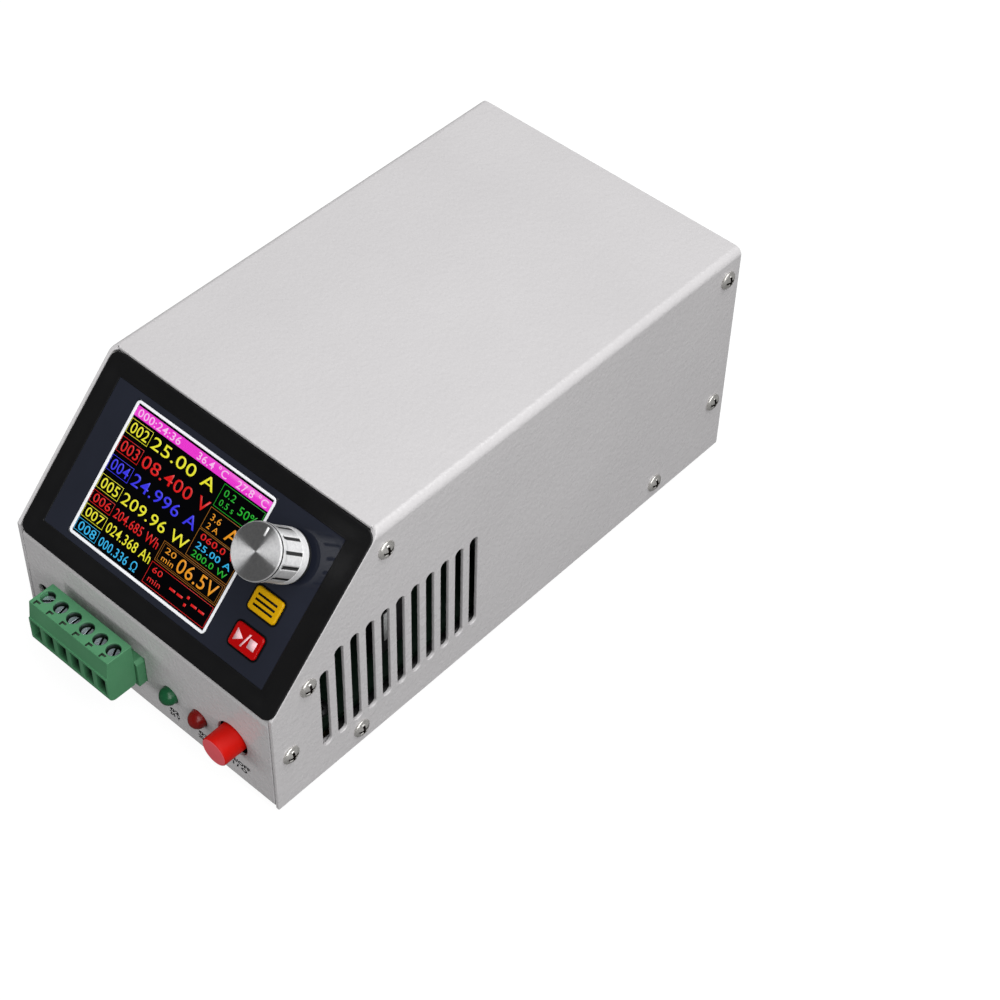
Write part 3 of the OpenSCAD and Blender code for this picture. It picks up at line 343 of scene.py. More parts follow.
def pixelGrid():      # lit display dots: dark lines between dots of a given pitch, mm on the UV map
    tree, given, put = newGroup("pixelGrid", [("Scale", "NodeSocketFloat", 6.5)])
    dots = addNode(tree, "VectorMath", {0: addNode(tree, "TexCoord").outputs["UV"], "Scale": given["Scale"]},
                   operation="SCALE").outputs[0]
    inside = addNode(tree, "VectorMath", {0: dots}, operation="FRACTION").outputs[0]
    parts = addNode(tree, "SeparateXYZ", {0: inside}).outputs
    edges = [ranged(tree, parts[label], 0.6, 1.0, 0.1, 0.2) for label in ("X", "Y")]
    lit = addNode(tree, "Math", {0: edges[0], 1: edges[1]}, operation="MULTIPLY").outputs[0]
    return putOut(tree, put, lit, lit, lit)


effects = {make.__name__: make() for make in
           (pebbledCoat, mouldedGrain, brushedLines, spunLines, boardTraces, pixelGrid)}


# the dark colours are painted shade in recesses, besides the blackened knob slots; the paler cap end is a
# painted reflection
markColors = {      # finish: number on the points, colour where it is set
    "screwSteel": ("dark", (34, 28, 25)), "clampSteel": ("dark", (16, 20, 22)),
    "knobMetal": ("dark", (20, 20, 22)), "terminalGreen": ("insideShade", (9, 28, 16)),
    "powerRed": ("paintedSheen", (226, 92, 100))}


def makeFinish(name, look):
    # colour and tone mix by Shade, roughness runs between two values by Gloss, depth is the bump in mm
    material = bpy.data.materials.new(name)
    material.use_nodes = True
    tree = material.node_tree
    shader = tree.nodes["Principled BSDF"]
    effect = addNode(tree, "Group", node_tree=effects[look["effect"]])
    for label, value in look.get("values", {}).items():
        effect.inputs[label].default_value = value
    shade = ranged(tree, effect.outputs["Shade"], 0.0, 1.0)
    base = blended(tree, shade, tint(*look["color"]), tint(*look["tone"]))
    if name in markColors:      # another colour where a number on the points is set
        label, color = markColors[name]
        amount = addNode(tree, "Attribute", attribute_name=label).outputs["Fac"]
        base = blended(tree, ranged(tree, amount, 0.0, 1.0, 0.0, 0.25), base, tint(*color))
    tree.links.new(base, shader.inputs["Base Color"])
    tree.links.new(ranged(tree, effect.outputs["Gloss"], *look["rough"]), shader.inputs["Roughness"])
    bump = addNode(tree, "Bump", {"Height": effect.outputs["Height"], "Distance": look["depth"] * mm})
    tree.links.new(bump.outputs["Normal"], shader.inputs["Normal"])
    for label, value in look.get("shader", {}).items():
        shader.inputs[label].default_value = value
    return material


plastics = {      # colour, tone, roughness range, grain scale, grain depth in mm, specular level
    "footRubber": ((34, 34, 35), (46, 46, 47), (0.7, 0.85), 2600.0, 0.03, 0.5),
    "bezelBlack": ((12, 12, 13), (15, 15, 16), (0.36, 0.46), 5200.0, 0.006, 0.3),      # satin
    "filmNavy": ((28, 31, 41), (31, 34, 45), (0.07, 0.13), 900.0, 0.0008, 0.5),      # glossy printed film
    "lcdWhite": ((240, 241, 244), (232, 234, 238), (0.35, 0.5), 5000.0, 0.003, 0.5),
    "lcdGlass": ((3, 3, 4), (5, 5, 7), (0.16, 0.24), 6000.0, 0.0006, 0.03),      # dark display face
    "blackPlastic": ((24, 24, 25), (33, 33, 34), (0.38, 0.52), 4200.0, 0.012, 0.5),
    "whitePlastic": ((226, 222, 208), (214, 209, 194), (0.36, 0.5), 4200.0, 0.01, 0.5),
    "keyYellow": ((206, 158, 4), (198, 150, 3), (0.22, 0.3), 3600.0, 0.006, 0.22),
    "keyRed": ((168, 3, 4), (160, 2, 3), (0.22, 0.3), 3600.0, 0.006, 0.22),
    "powerRed": ((200, 17, 6), (190, 14, 5), (0.4, 0.52), 2400.0, 0.012, 0.15),      # paler towards the end face, a painted reflection
    "terminalGreen": ((72, 132, 92), (63, 119, 82), (0.42, 0.58), 3000.0, 0.02, 0.5),      # matt polyamide
    # dark green of the plug marks: painted shade of the pressed marks
    "markGreen": ((7, 28, 11), (10, 34, 15), (0.6, 0.75), 3000.0, 0.02, 0.5),
    "lampGreen": ((16, 74, 42), (24, 86, 52), (0.22, 0.34), 700.0, 0.004, 0.35),      # tinted resin
    "lampRed": ((108, 9, 6), (122, 14, 10), (0.22, 0.34), 700.0, 0.004, 0.35),
    "canBlue": ((22, 32, 66), (28, 40, 80), (0.2, 0.32), 1800.0, 0.004, 0.5),
    "wireRed": ((170, 28, 24), (152, 22, 20), (0.34, 0.46), 2200.0, 0.006, 0.5),
    "inkWhite": ((240, 240, 240), (228, 228, 228), (0.45, 0.6), 5000.0, 0.002, 0.5),
    "inkPale": ((240, 196, 202), (232, 184, 190), (0.45, 0.6), 5000.0, 0.002, 0.5),
    "inkDark": ((10, 10, 11), (16, 16, 18), (0.45, 0.6), 5000.0, 0.002, 0.05)}
metals = {      # colour, tone, roughness range, line scale, stretch, line depth in mm, metallic
    "screwSteel": ((222, 220, 216), (196, 194, 190), (0.2, 0.34), 2500.0, (1, 1, 0.3), 0.004, 0.75),
    "clampSteel": ((206, 218, 226), (178, 190, 200), (0.2, 0.34), 2500.0, (1, 1, 0.3), 0.004, 0.85),
    "darkSteel": ((38, 38, 40), (28, 28, 30), (0.35, 0.5), 2500.0, (1, 1, 0.3), 0.004, 0.6),      # blackened on the regulator; on the board screws the darkness is painted shade
    "tinnedPlate": ((196, 198, 198), (182, 184, 184), (0.5, 0.62), 2500.0, (1, 1, 0.1), 0.003, 0.15),
    "contactBrass": ((222, 198, 132), (198, 170, 104), (0.24, 0.38), 2600.0, (1, 0.1, 1), 0.004, 1.0),
    "sinkAluminium": ((196, 198, 200), (172, 174, 177), (0.28, 0.44), 3000.0, (1, 0.02, 1), 0.008, 1.0),
    "shuntCopper": ((206, 140, 96), (180, 112, 74), (0.26, 0.42), 2600.0, (0.05, 1, 1), 0.005, 1.0),
    "ribbonGrey": ((168, 168, 166), (150, 150, 149), (0.42, 0.55), 790.0, (1, 0.01, 0.01), 0.12, 0.0)}
finishes = {"casePaint": makeFinish("casePaint", {      # light warm grey powder coat
    "effect": "pebbledCoat", "values": {"Scale": 950.0}, "depth": 0.085, "color": (201, 199, 200),
    "tone": (192, 190, 191), "rough": (0.22, 0.32), "shader": {"Specular IOR Level": 0.38}})}
finishes["boardGreen"] = makeFinish("boardGreen", {
    "effect": "boardTraces", "values": {"Scale": 240.0}, "depth": 0.03, "color": (3, 14, 9),
    "tone": (8, 26, 16), "rough": (0.34, 0.46)})
for name, (color, tone, rough, scale, depth, shine) in plastics.items():
    finishes[name] = makeFinish(name, {
        "effect": "mouldedGrain", "values": {"Scale": scale}, "depth": depth, "color": color, "tone": tone,
        "rough": rough, "shader": {"Specular IOR Level": shine}})
for name, (color, tone, rough, scale, stretch, depth, metallic) in metals.items():
    finishes[name] = makeFinish(name, {
        "effect": "brushedLines", "values": {"Scale": scale, "Stretch": stretch}, "depth": depth,
        "color": color, "tone": tone, "rough": rough, "shader": {"Metallic": metallic}})
slotFinish = {      # record slot: finish
    "case_paint": "casePaint", "screw_steel": "screwSteel", "rubber": "footRubber",
    "bezel_black": "bezelBlack", "film_navy": "filmNavy", "lcd_white": "lcdWhite", "lcd_glass": "lcdGlass",
    "board_green": "boardGreen", "black_plastic": "blackPlastic", "terminal_green": "terminalGreen",
    "contact_brass": "contactBrass", "white_plastic": "whitePlastic", "sink_aluminium": "sinkAluminium",
    "can_blue": "canBlue", "shunt_copper": "shuntCopper", "wire_red": "wireRed", "ribbon_grey": "ribbonGrey",
    "knob_aluminium": "screwSteel"}
for name, node in nodes.items():
    if slotOf[name] in slotFinish:
        node.material_slots[0].link = "OBJECT"
        node.material_slots[0].material = finishes[slotFinish[slotOf[name]]]
print("finishes:", len(bpy.data.materials))


# Folded, moulded and turned CAD parts with their edges rounded, width in mm

softEdges = {
    "top_cover": 0.3, "chassis": 0.25, "lcd_frame": 0.2, "terminal_header": 0.16, "fan_screws": 0.14,
    "rubber_feet": 0.3, "fan_frame": 0.3, "fan_rotor": 0.2, "dc_jack": 0.25, "heat_sink": 0.15,
    "power_switch": 0.25, "power_transistors": 0.3, "capacitors": 0.6, "link_sockets": 0.25,
    "regulator": 0.12, "board_screws": 0.12}
# the regulator body is black; the board screws are dark as painted shade inside the case
ownFinish = {"regulator": "darkSteel", "board_screws": "darkSteel"}
for name, width in softEdges.items():
    softened(name, width, ownFinish.get(name, slotFinish[slotOf[name]]), nodePoints(name))
print("softened parts:", len(softEdges))


# Case screws: the floors of their cross recesses darkened as painted shade

screwLook = {"edge": 0.12, "recess": 0.6, "near": 0.02}      # recess depth as a share of the head height
coverScrews = softened("cover_screws", screwLook["edge"], "screwSteel", nodePoints("cover_screws"))
headTop = np.abs(nodePoints("cover_screws")[:, 0]).max()
headSeat = np.abs(nodePoints("top_cover")[:, 0]).max()
floorLevel = headTop - screwLook["recess"] * (headTop - headSeat)
onFloor = np.abs(np.abs(meshPoints(coverScrews.data)[:, 0]) - floorLevel) < screwLook["near"] * mm
markPoints(coverScrews, "dark", onFloor)
print("case screws: recess points", int(onFloor.sum()))


# Terminal plug: corner marks filled and painted dark green as the shade in them, painted shade inside the
# wells and entries

plugLook = {"edge": 0.16, "markDeep": 0.5, "markNear": 0.004, "markWidth": 0.6, "markApart": 2.0,
            "lift": 0.01, "inside": 1.0, "mouth": 3.0, "tail": 3.0, "screwEdge": 0.08, "slotDeep": 0.8,
            "slotNear": 0.02, "turns": (-12, 6, -43, -68, 91, 56)}      # degrees, one per screw slot
plugPoints = nodePoints("terminal_plug")
plugLow, plugHigh = plugPoints.min(0), plugPoints.max(0)
markFloor = np.abs(plugPoints[:, 2] - plugHigh[2] + plugLook["markDeep"] * mm) < plugLook["markNear"] * mm
markCorners = plugPoints[markFloor] / mm
plugPoints[markFloor, 2] = plugHigh[2]
plugPiece = softened("terminal_plug", plugLook["edge"], "terminalGreen", plugPoints)
inside = meshPoints(plugPiece.data)
# points inside the wells and wire entries, darkened as painted shade
insideShade = ((inside > plugLow + plugLook["inside"] * mm) & (inside < plugHigh - plugLook["inside"] * mm)).all(1)
insideShade &= inside[:, 1] > plugLow[1] + plugLook["mouth"] * mm
insideShade &= inside[:, 1] < frontOrigin[1] - plugLook["tail"] * mm
markPoints(plugPiece, "insideShade", insideShade)
for way, turn in enumerate(plugLook["turns"], 1):
    name = f"clamp_screw_{way}"
    piece = softened(name, plugLook["screwEdge"], "clampSteel", turnedUpright(nodePoints(name), turn))
    # the slot floor of each clamp screw is darkened as painted shade
    depth = meshPoints(piece.data)[:, 2].max() - meshPoints(piece.data)[:, 2]
    markPoints(piece, "dark", np.abs(depth - plugLook["slotDeep"] * mm) < plugLook["slotNear"] * mm)
print("plug: deep points", int(insideShade.sum()), "mark corners", len(markCorners))


# Bezel: a smooth dished face over the CAD part, whose own face is pressed down under it

bezelLook = {"filmGap": 0.1, "filmCorner": 0.35, "corner": 3.0, "perCorner": 9, "lip": 0.13, "rise": 0.8,
             "backTop": 0.42, "edge": 0.045, "edgeTall": 0.28, "edgeSteps": 6, "crest": 0.86,
             "steps": 14, "under": [(0, -0.1), (0.4, -0.05), (0.9, 0.4), (1, 0.4)]}      # share out, height


def bezelFace(low, high):
    # point(t, s) = (1 - t) film outline(s) + t brim outline(s), with the height of the dish at t
    look = bezelLook
    film = roundedRing(*(filmHigh - filmLow)[:2] + 2 * look["filmGap"], look["filmCorner"], look["perCorner"])
    brim = roundedRing(*(high - low)[:2], look["corner"], look["perCorner"]) + (low + high)[:2] / 2
    bend = np.linspace(0, math.pi / 2, look["edgeSteps"])
    over = np.stack([1 - look["edge"] * (1 - np.cos(bend)),
                     look["rise"] - look["edgeTall"] * (1 - np.sin(bend))], -1)
    t = np.linspace(look["crest"], 0, look["steps"])
    s = t / look["crest"]
    dish = np.stack([t, look["lip"] + (look["rise"] - look["lip"]) * s * s * (3 - 2 * s)], -1)
    rows = np.concatenate([over, dish, look["under"]])
    flat = (1 - rows[:, None, :1]) * film + rows[:, None, :1] * brim
    return wrappedRings(np.concatenate([flat, np.broadcast_to(rows[:, None, 1:], (*flat.shape[:2], 1))], -1))


bezelLow, bezelHigh = spanOf("bezel", panelAxes, panelOrigin)
pressed = (nodePoints("bezel") - panelOrigin) @ panelAxes.T / mm
pressed[:, 2] = np.minimum(pressed[:, 2], bezelLook["backTop"])
mergedCopy("bezel", "bezel_back", placed(pressed, panelAxes, panelOrigin), "bezelBlack")
bezelPiece = newPiece("bezel_face", bezelFace(bezelLow, bezelHigh), panelAxes, panelOrigin, "bezelBlack",
                      bodyOf["bezel"])
evenNormals(bezelPiece)
print("bezel: dished face")


# Knob: a shell turned about its axis, with slots along the grip and rings round the crown

knobLook = {
    "wall": 1.8, "skin": 1.0, "slots": 12, "slotWidth": 0.85, "slotDepth": 0.2, "slotLow": 2.95,
    "slotTop": 2.1, "run": 0.06, "landSteps": 8, "fillet": 0.03, "footFillet": 0.15, "faceSteps": 12,
    "near": 0.02, "gripIn": 0.3, "bandIn": 0.1, "ringFrom": 5.0, "ringEnd": 0.3, "side": 0.62, "foot": 0.2,
    "footEnd": 0.2, "faceIn": 2.2, "pole": 0.05, "roofPole": 0.2,
    "lineWidth": 0.6, "lineFrom": 0.58, "lineEnd": 0.75, "lineHeight": 0.03,
    "base": [(0.8, 0), (0.25, 0), (0.25, 2.7), (0.38, 2.76), (0.3, 2.84)],      # in from the radius, up
    "step": [(0.3, 3), (0.45, 2.97), (0.45, 2.8), (0.1, 2.76)],      # in from the radius, down from the top
    "crown": [(0.1, 1.45), (0.1, 1.2), (0, 1.08), (0, 0.98), (0.4, 0.94), (0.4, 0.46), (0.06, 0.42),
              (0.06, 0.18), (0.36, 0), (2, 0)]}


def knobMetal(name):      # spun aluminium, glossier along the lathe lines, with blackened slots and painted shade in the ring groove
    metal = makeFinish(name, {
        "effect": "spunLines", "values": {"Scale": 9.0}, "depth": 0.002,
        "color": (248, 248, 248), "tone": (212, 212, 214), "rough": (0.44, 0.5),
        "shader": {"Anisotropic": 1.0, "Anisotropic Rotation": 0.25}})
    tree = metal.node_tree
    shader = tree.nodes["Principled BSDF"]
    around = addNode(tree, "Tangent", direction_type="UV_MAP", uv_map="surface")
    tree.links.new(around.outputs[0], shader.inputs["Tangent"])
    plating = addNode(tree, "Attribute", attribute_name="plating").outputs["Fac"]
    tree.links.new(plating, shader.inputs["Metallic"])
    return metal


def knobShape(radius, height):
    # r(a, h) drops to the slot floor where a is inside a slot and h is between its ends.
    look, fillet = knobLook, knobLook["fillet"]
    low, high, run = look["slotLow"], height - look["slotTop"], look["run"]
    grip, band, roof = radius - look["gripIn"], radius - look["bandIn"], height - look["wall"]
    inner = [(look["roofPole"], roof), (radius - look["wall"], roof), (radius - look["wall"], 0)]
    base = filleted([(radius - x, up) for x, up in look["base"]], [0, look["footFillet"], fillet, fillet, 0])
    step = [(radius - x, height - down) for x, down in look["step"]]
    sides = [(grip, low - run), (grip, low + run), *step, (band, high - run), (band, high + run)]
    crown = filleted([(radius - x, height - down) for x, down in look["crown"]], fillet, 3)
    face = np.linspace((radius - look["faceIn"], height), (look["pole"], height), look["faceSteps"])
    profile = np.concatenate([inner, base, sides, crown, face])
    r, h = profile.T
    half, pitch = look["slotWidth"] / 2 / radius, 2 * math.pi / look["slots"]
    land = np.linspace(half + run / radius, pitch - half - run / radius, look["landSteps"])
    station = np.concatenate([[-half + run / radius, half - run / radius], land])
    angles = (np.arange(look["slots"])[:, None] * pitch + station).ravel()
    inSlot = np.tile(np.arange(len(station)) < 2, look["slots"])
    skin = r > radius - look["skin"]
    slot = (skin & (h > low) & (h < high))[:, None] & inSlot[None, :]
    dent = np.where(slot, (r - grip + look["slotDepth"])[:, None], 0.0)
    ring = skin & (r < grip - look["near"]) & (h > look["ringFrom"]) & (h < height - look["ringEnd"])
    topFace = (h > height - look["near"]) & (r < grip)
    wallPlating = np.where(topFace, 1.0, np.where(h < low - look["footEnd"], look["foot"], look["side"]))
    plating = np.where(slot, 0.0, wallPlating[:, None])
    # dark: the blackened slot floors, and the ring groove under the crown darkened as painted shade
    marks = {"dark": np.append(slot | ring[:, None], [0, 0]), "plating": np.append(plating, [0, 1])}
    return closedRings(turnedRings(profile, angles, dent)), marks


def flatInk(name, shapes, level, axes, origin, finish, body, thick=0.02):
    # Flat outlines in mm on a face, joined in one thin closed layer.
    counts = np.append(0, np.cumsum([len(points) for points, faces in shapes]))
    points = np.concatenate([points for points, faces in shapes])
    faces = [[corner + start for corner in face]
             for start, (outline, outlineFaces) in zip(counts, shapes) for face in outlineFaces]
    uvs = points[[corner for face in faces for corner in face]]
    raised = np.column_stack([points, np.full(len(points), level)])
    piece = newPiece(name, (raised, faces, uvs), axes, origin, finish, body)
    layer = piece.modifiers.new("inkLayer", "SOLIDIFY")
    layer.thickness = thick * mm
    layer.offset = 1
    return piece


def block(left, low, right, high):      # one filled rectangle
    return np.array([(left, low), (right, low), (right, high), (left, high)], float), [[0, 1, 2, 3]]


def outline(left, low, right, high, width):      # rectangle drawn with a line of given width
    outer = block(left, low, right, high)[0]
    inner = block(left + width, low + width, right - width, high - width)[0]
    return np.concatenate([outer, inner]), [[i, (i + 1) % 4, 4 + (i + 1) % 4, 4 + i] for i in range(4)]


def words(text, left, low, right, high, weight=0.0):      # letters stretched to fill a box
    curve = bpy.data.curves.new("letters", "FONT")
    curve.body = text
    curve.resolution_u = 4
    curve.offset = weight
    curve.space_character = 1.06
    holder = bpy.data.objects.new("letters", curve)
    scene.collection.objects.link(holder)
    bpy.context.view_layer.update()
    drawn = holder.to_mesh()
    points = meshPoints(drawn)[:, :2]
    faces = [list(face.vertices) for face in drawn.polygons]
    holder.to_mesh_clear()
    bpy.data.objects.remove(holder)
    bpy.data.curves.remove(curve)
    share = (points - points.min(0)) / np.ptp(points, axis=0)
    return np.array([left, low]) + share * np.array([right - left, high - low]), faces


knobLow, knobHigh = spanOf("knob", panelAxes, panelOrigin)
knobRadius, knobTall = (knobHigh[0] - knobLow[0]) / 2, knobHigh[2] - knobLow[2]
knobAt = placed([*(knobLow + knobHigh)[:2] / 2, knobLow[2]], panelAxes, panelOrigin)
knobShell, knobMarks = knobShape(knobRadius, knobTall)
finishes["knobMetal"] = knobMetal("knobMetal")
knobPiece = newPiece("knob_shell", knobShell, panelAxes, knobAt, "knobMetal", bodyOf["knob"],
                     ["knob"])
for label, values in knobMarks.items():
    markPoints(knobPiece, label, values)
evenNormals(knobPiece)
flatInk("knob_pointer", [block(-knobLook["lineWidth"] / 2, knobLook["lineFrom"] * knobRadius,
                               knobLook["lineWidth"] / 2, knobRadius - knobLook["lineEnd"])],
        knobTall, panelAxes, knobAt, "inkWhite", bodyOf["knob"], knobLook["lineHeight"])
print("knob: radius", round(knobRadius, 2), "height", round(knobTall, 2))


# Keys: a rounded outline carried up the wall, over a soft edge and onto a flat top

keyLook = {"corner": 1.0, "least": 0.12, "perCorner": 7, "lip": 0.7, "lipHeight": 1.0, "edge": 0.5,
           "edgeSteps": 6, "dish": 0.05, "dishRows": [(0.5, 0.5), (1.6, 1.0)], "middle": 3.0, "sharp": 50,
           "windowGap": 0.1, "surround": 0.4, "rimTall": 0.2}


def keyShape(width, height, tall):
    # rows are (inset, height) pairs; each ring is the key outline moved in by its inset
    lip, edge, corner, dish = (keyLook[label] for label in ("lip", "edge", "corner", "dish"))
    bend = np.linspace(0, math.pi / 2, keyLook["edgeSteps"])
    over = np.stack([edge * (1 - np.cos(bend)), tall - edge * (1 - np.sin(bend))], -1)
    flat = [(edge + inset, tall - share * dish) for inset, share in keyLook["dishRows"]]
    flat += [(keyLook["middle"], tall - dish)]
    rows = np.concatenate([[(-lip, 0), (-lip, keyLook["lipHeight"]), (0, keyLook["lipHeight"])], over, flat])
    rings = []
    for inset, level in rows:
        radius = max(corner - inset, keyLook["least"])
        ring = roundedRing(width - 2 * inset, height - 2 * inset, radius, keyLook["perCorner"])
        rings.append(np.column_stack([ring, np.full(len(ring), level)]))
    return closedRings(np.array(rings))


def keyPiece(name, finish):
    low, high = spanOf(name, panelAxes, panelOrigin)
    at = placed([*(low + high)[:2] / 2, low[2]], panelAxes, panelOrigin)
    size = (high - low)[:2] - 2 * keyLook["lip"]
    piece = newPiece(name + "_cap", keyShape(*size, high[2] - low[2]), panelAxes, at, finish,
                     bodyOf[name], [name])
    piece.data.set_sharp_from_angle(angle=math.radians(keyLook["sharp"]))
    evenNormals(piece)
    return at, high[2] - low[2] - keyLook["dish"]


def roundedBand(width, height, radius, band):      # the flat space between two rounded outlines
    outer = roundedRing(width + 2 * band, height + 2 * band, radius + band, keyLook["perCorner"])
    inner = roundedRing(width, height, radius, keyLook["perCorner"])
    i = np.arange(len(outer))
    k = (i + 1) % len(outer)
    return np.concatenate([outer, inner]), np.stack([i, k, k + len(outer), i + len(outer)], -1).tolist()


def keySurround(name):      # low dark rim round the window of a key, a painted shadow of the gap round the key
    low, high = spanOf(name, panelAxes, panelOrigin)
    size = (high - low)[:2] - 2 * keyLook["lip"] + 2 * keyLook["windowGap"]
    at = placed([*(low + high)[:2] / 2, 0], panelAxes, panelOrigin)
    band = roundedBand(*size, keyLook["corner"] + keyLook["windowGap"], keyLook["surround"])
    flatInk(name + "_surround", [band], 0, panelAxes, at, "inkDark", "base",
            keyLook["rimTall"])


for name in ("menu_key", "run_key"):
    keySurround(name)
menuAt, menuTop = keyPiece("menu_key", "keyYellow")
barLook = {"half": 3.3, "thick": 0.3, "rows": (-1.45, 0, 1.45)}      # three plain bars
menuBars = [block(-barLook["half"], y - barLook["thick"], barLook["half"], y + barLook["thick"])
            for y in barLook["rows"]]
flatInk("menu_mark", menuBars, menuTop, panelAxes, menuAt, "inkDark", bodyOf["menu_key"])
runAt, runTop = keyPiece("run_key", "keyRed")
runLook = {"triangle": [(-3.5, -1.7), (-0.9, 0), (-3.5, 1.7)], "square": (1.1, -1.25, 3.6, 1.25),
           "slash": [(-0.95, -2), (-0.4, -2), (0.95, 2), (0.4, 2)]}
runMark = [(np.array(runLook[part]), [list(range(len(runLook[part])))]) for part in ("triangle", "slash")]
runMark += [block(*runLook["square"])]
flatInk("run_mark", runMark, runTop, panelAxes, runAt, "inkPale", bodyOf["run_key"])
print("keys: two caps")


# Lit display: plain numbers and unit symbols, laid out as shares of the display, from its top left corner

displayLow, displayHigh = spanOf("lcd_panel", panelAxes, panelOrigin)
displaySize = displayHigh - displayLow
displayInks = {
    "yellow": (240, 236, 44), "red": (222, 10, 10), "blue": (56, 52, 240), "cyan": (44, 184, 240),
    "green": (20, 176, 36), "orange": (236, 152, 22), "amber": (168, 106, 24), "magenta": (244, 52, 214),
    "pink": (255, 196, 246)}
displayRows = [      # colour, top, bottom, right end, value
    ("yellow", 0.108, 0.218, 0.655, "25.00 A"), ("red", 0.25, 0.363, 0.68, "08.400 V"),
    ("blue", 0.395, 0.508, 0.665, "24.996 A"), ("yellow", 0.547, 0.653, 0.675, "209.96 W"),
    ("red", 0.674, 0.763, 0.52, "204.685 Wh"), ("yellow", 0.784, 0.879, 0.52, "024.368 Ah"),
    ("cyan", 0.897, 0.987, 0.47, "000.336 Ω")]
drawing = {ink: [] for ink in displayInks}


def onDisplay(left, top, right, bottom):      # shares of the display to mm on the panel
    x = displayLow[0] + np.array([left, right]) * displaySize[0]
    y = displayHigh[1] - np.array([bottom, top]) * displaySize[1]
    return x[0], y[0], x[1], y[1]


def write(ink, text, left, top, right, bottom, weight=0.002):
    drawing[ink].append(words(text, *onDisplay(left, top, right, bottom), weight))


def frameBox(ink, left, top, right, bottom, width=0.11):
    drawing[ink].append(outline(*onDisplay(left, top, right, bottom), width))


for count, (ink, top, bottom, right, value) in enumerate(displayRows, 2):
    pad = 0.1 * (bottom - top)
    frameBox(ink, 0.002, top, 0.166, bottom)
    write(ink, f"{count:03d}", 0.022, top + 1.4 * pad, 0.15, bottom - 1.4 * pad)
    write(ink, value, 0.185, top + pad, right, bottom - pad)
drawing["magenta"].append(block(*onDisplay(0.0, 0.013, 1.0, 0.087)))
frameBox("green", 0.695, 0.1, 0.994, 0.268)
write("green", "0.2", 0.72, 0.125, 0.8, 0.175, 0.0)
write("green", "0.5 s", 0.72, 0.2, 0.82, 0.245, 0.0)
write("green", "50%", 0.845, 0.16, 0.97, 0.222)
frameBox("amber", 0.69, 0.282, 0.994, 0.44)
write("orange", "3.6", 0.72, 0.312, 0.79, 0.36, 0.0)
write("orange", "2 A", 0.72, 0.38, 0.8, 0.42, 0.0)
write("orange", "A", 0.845, 0.315, 0.93, 0.412)
frameBox("amber", 0.69, 0.447, 0.994, 0.653)
for ink, top, text in (("red", 0.462, "060.0 V"), ("cyan", 0.527, "25.00 A"), ("green", 0.59, "200.0 W")):
    write(ink, text, 0.72, top, 0.97, top + 0.045, 0.004)
frameBox("amber", 0.54, 0.664, 0.994, 0.815)
frameBox("amber", 0.552, 0.676, 0.982, 0.803, 0.07)
write("orange", "20", 0.575, 0.69, 0.65, 0.73, 0.0)
write("orange", "min", 0.575, 0.752, 0.66, 0.79, 0.0)
write("orange", "06.5V", 0.68, 0.688, 0.965, 0.79)
frameBox("red", 0.535, 0.829, 0.994, 0.989)
write("red", "60", 0.56, 0.85, 0.63, 0.892, 0.0)
write("red", "min", 0.56, 0.922, 0.65, 0.962, 0.0)
for left in (0.705, 0.76, 0.865, 0.92):
    drawing["red"].append(block(*onDisplay(left, 0.9, left + 0.042, 0.916)))
for top in (0.872, 0.928):
    drawing["red"].append(block(*onDisplay(0.825, top, 0.841, top + 0.02)))
write("pink", "000:24:36", 0.02, 0.022, 0.34, 0.078, 0.004)
write("pink", "36.4 °C", 0.47, 0.022, 0.69, 0.078, 0.004)
write("pink", "27.8 °C", 0.76, 0.022, 0.98, 0.078, 0.004)


inkLook = {"level": 0.005, "over": 0.03, "glow": 1.0, "face": 0.004, "rough": 0.4}


def litInk(name, color):      # glows by itself, a little less between the display dots
    ink = bpy.data.materials.new(name)
    ink.use_nodes = True
    tree = ink.node_tree
    shader = tree.nodes["Principled BSDF"]
    dots = addNode(tree, "Group", node_tree=effects["pixelGrid"]).outputs["Shade"]
    tree.links.new(blended(tree, dots, (0, 0, 0, 1), tint(*color)), shader.inputs["Emission Color"])
    shader.inputs["Emission Strength"].default_value = inkLook["glow"]
    shader.inputs["Base Color"].default_value = (inkLook["face"],) * 3 + (1,)
    shader.inputs["Roughness"].default_value = inkLook["rough"]
    return ink


for name, shapes in drawing.items():
    level = displayHigh[2] + (inkLook["over"] if name == "pink" else inkLook["level"])
    finishes["lit_" + name] = litInk("lit_" + name, displayInks[name])
    flatInk("display_" + name, shapes, level, panelAxes, panelOrigin, "lit_" + name, "base")
rimLook = {"width": 0.95, "corner": 1.15, "reach": 0.12, "steps": 7, "level": 0.1}


def cornerMask(x, y, sx, sy):      # the space between a square corner and the quarter arc inside it
    turn = np.linspace(0, math.pi / 2, rimLook["steps"])
    arc = np.stack([np.cos(turn), np.sin(turn)], -1) * rimLook["corner"] - rimLook["corner"]
    reach, corner = rimLook["reach"], rimLook["corner"]
    points = np.concatenate([[(reach, reach), (reach, -corner)], arc, [(-corner, reach)]])
    order = list(range(len(points)))
    return np.array([x, y]) + points * (sx, sy), [order if sx * sy > 0 else order[::-1]]


edgeX = (displayLow[0] - rimLook["width"], displayHigh[0] + rimLook["width"])
edgeY = (displayLow[1] - rimLook["width"], displayHigh[1] + rimLook["width"])
masks = [cornerMask(edgeX[i], edgeY[j], 2 * i - 1, 2 * j - 1) for i in (0, 1) for j in (0, 1)]
flatInk("window_corners", masks, rimLook["level"], panelAxes, panelOrigin, "filmNavy", "base")
print("display:", sum(len(shapes) for shapes in drawing.values()), "marks")


# Plug marks: two dark bars for each way, in the place of its pressed corner mark, painted as the shade in
# that mark

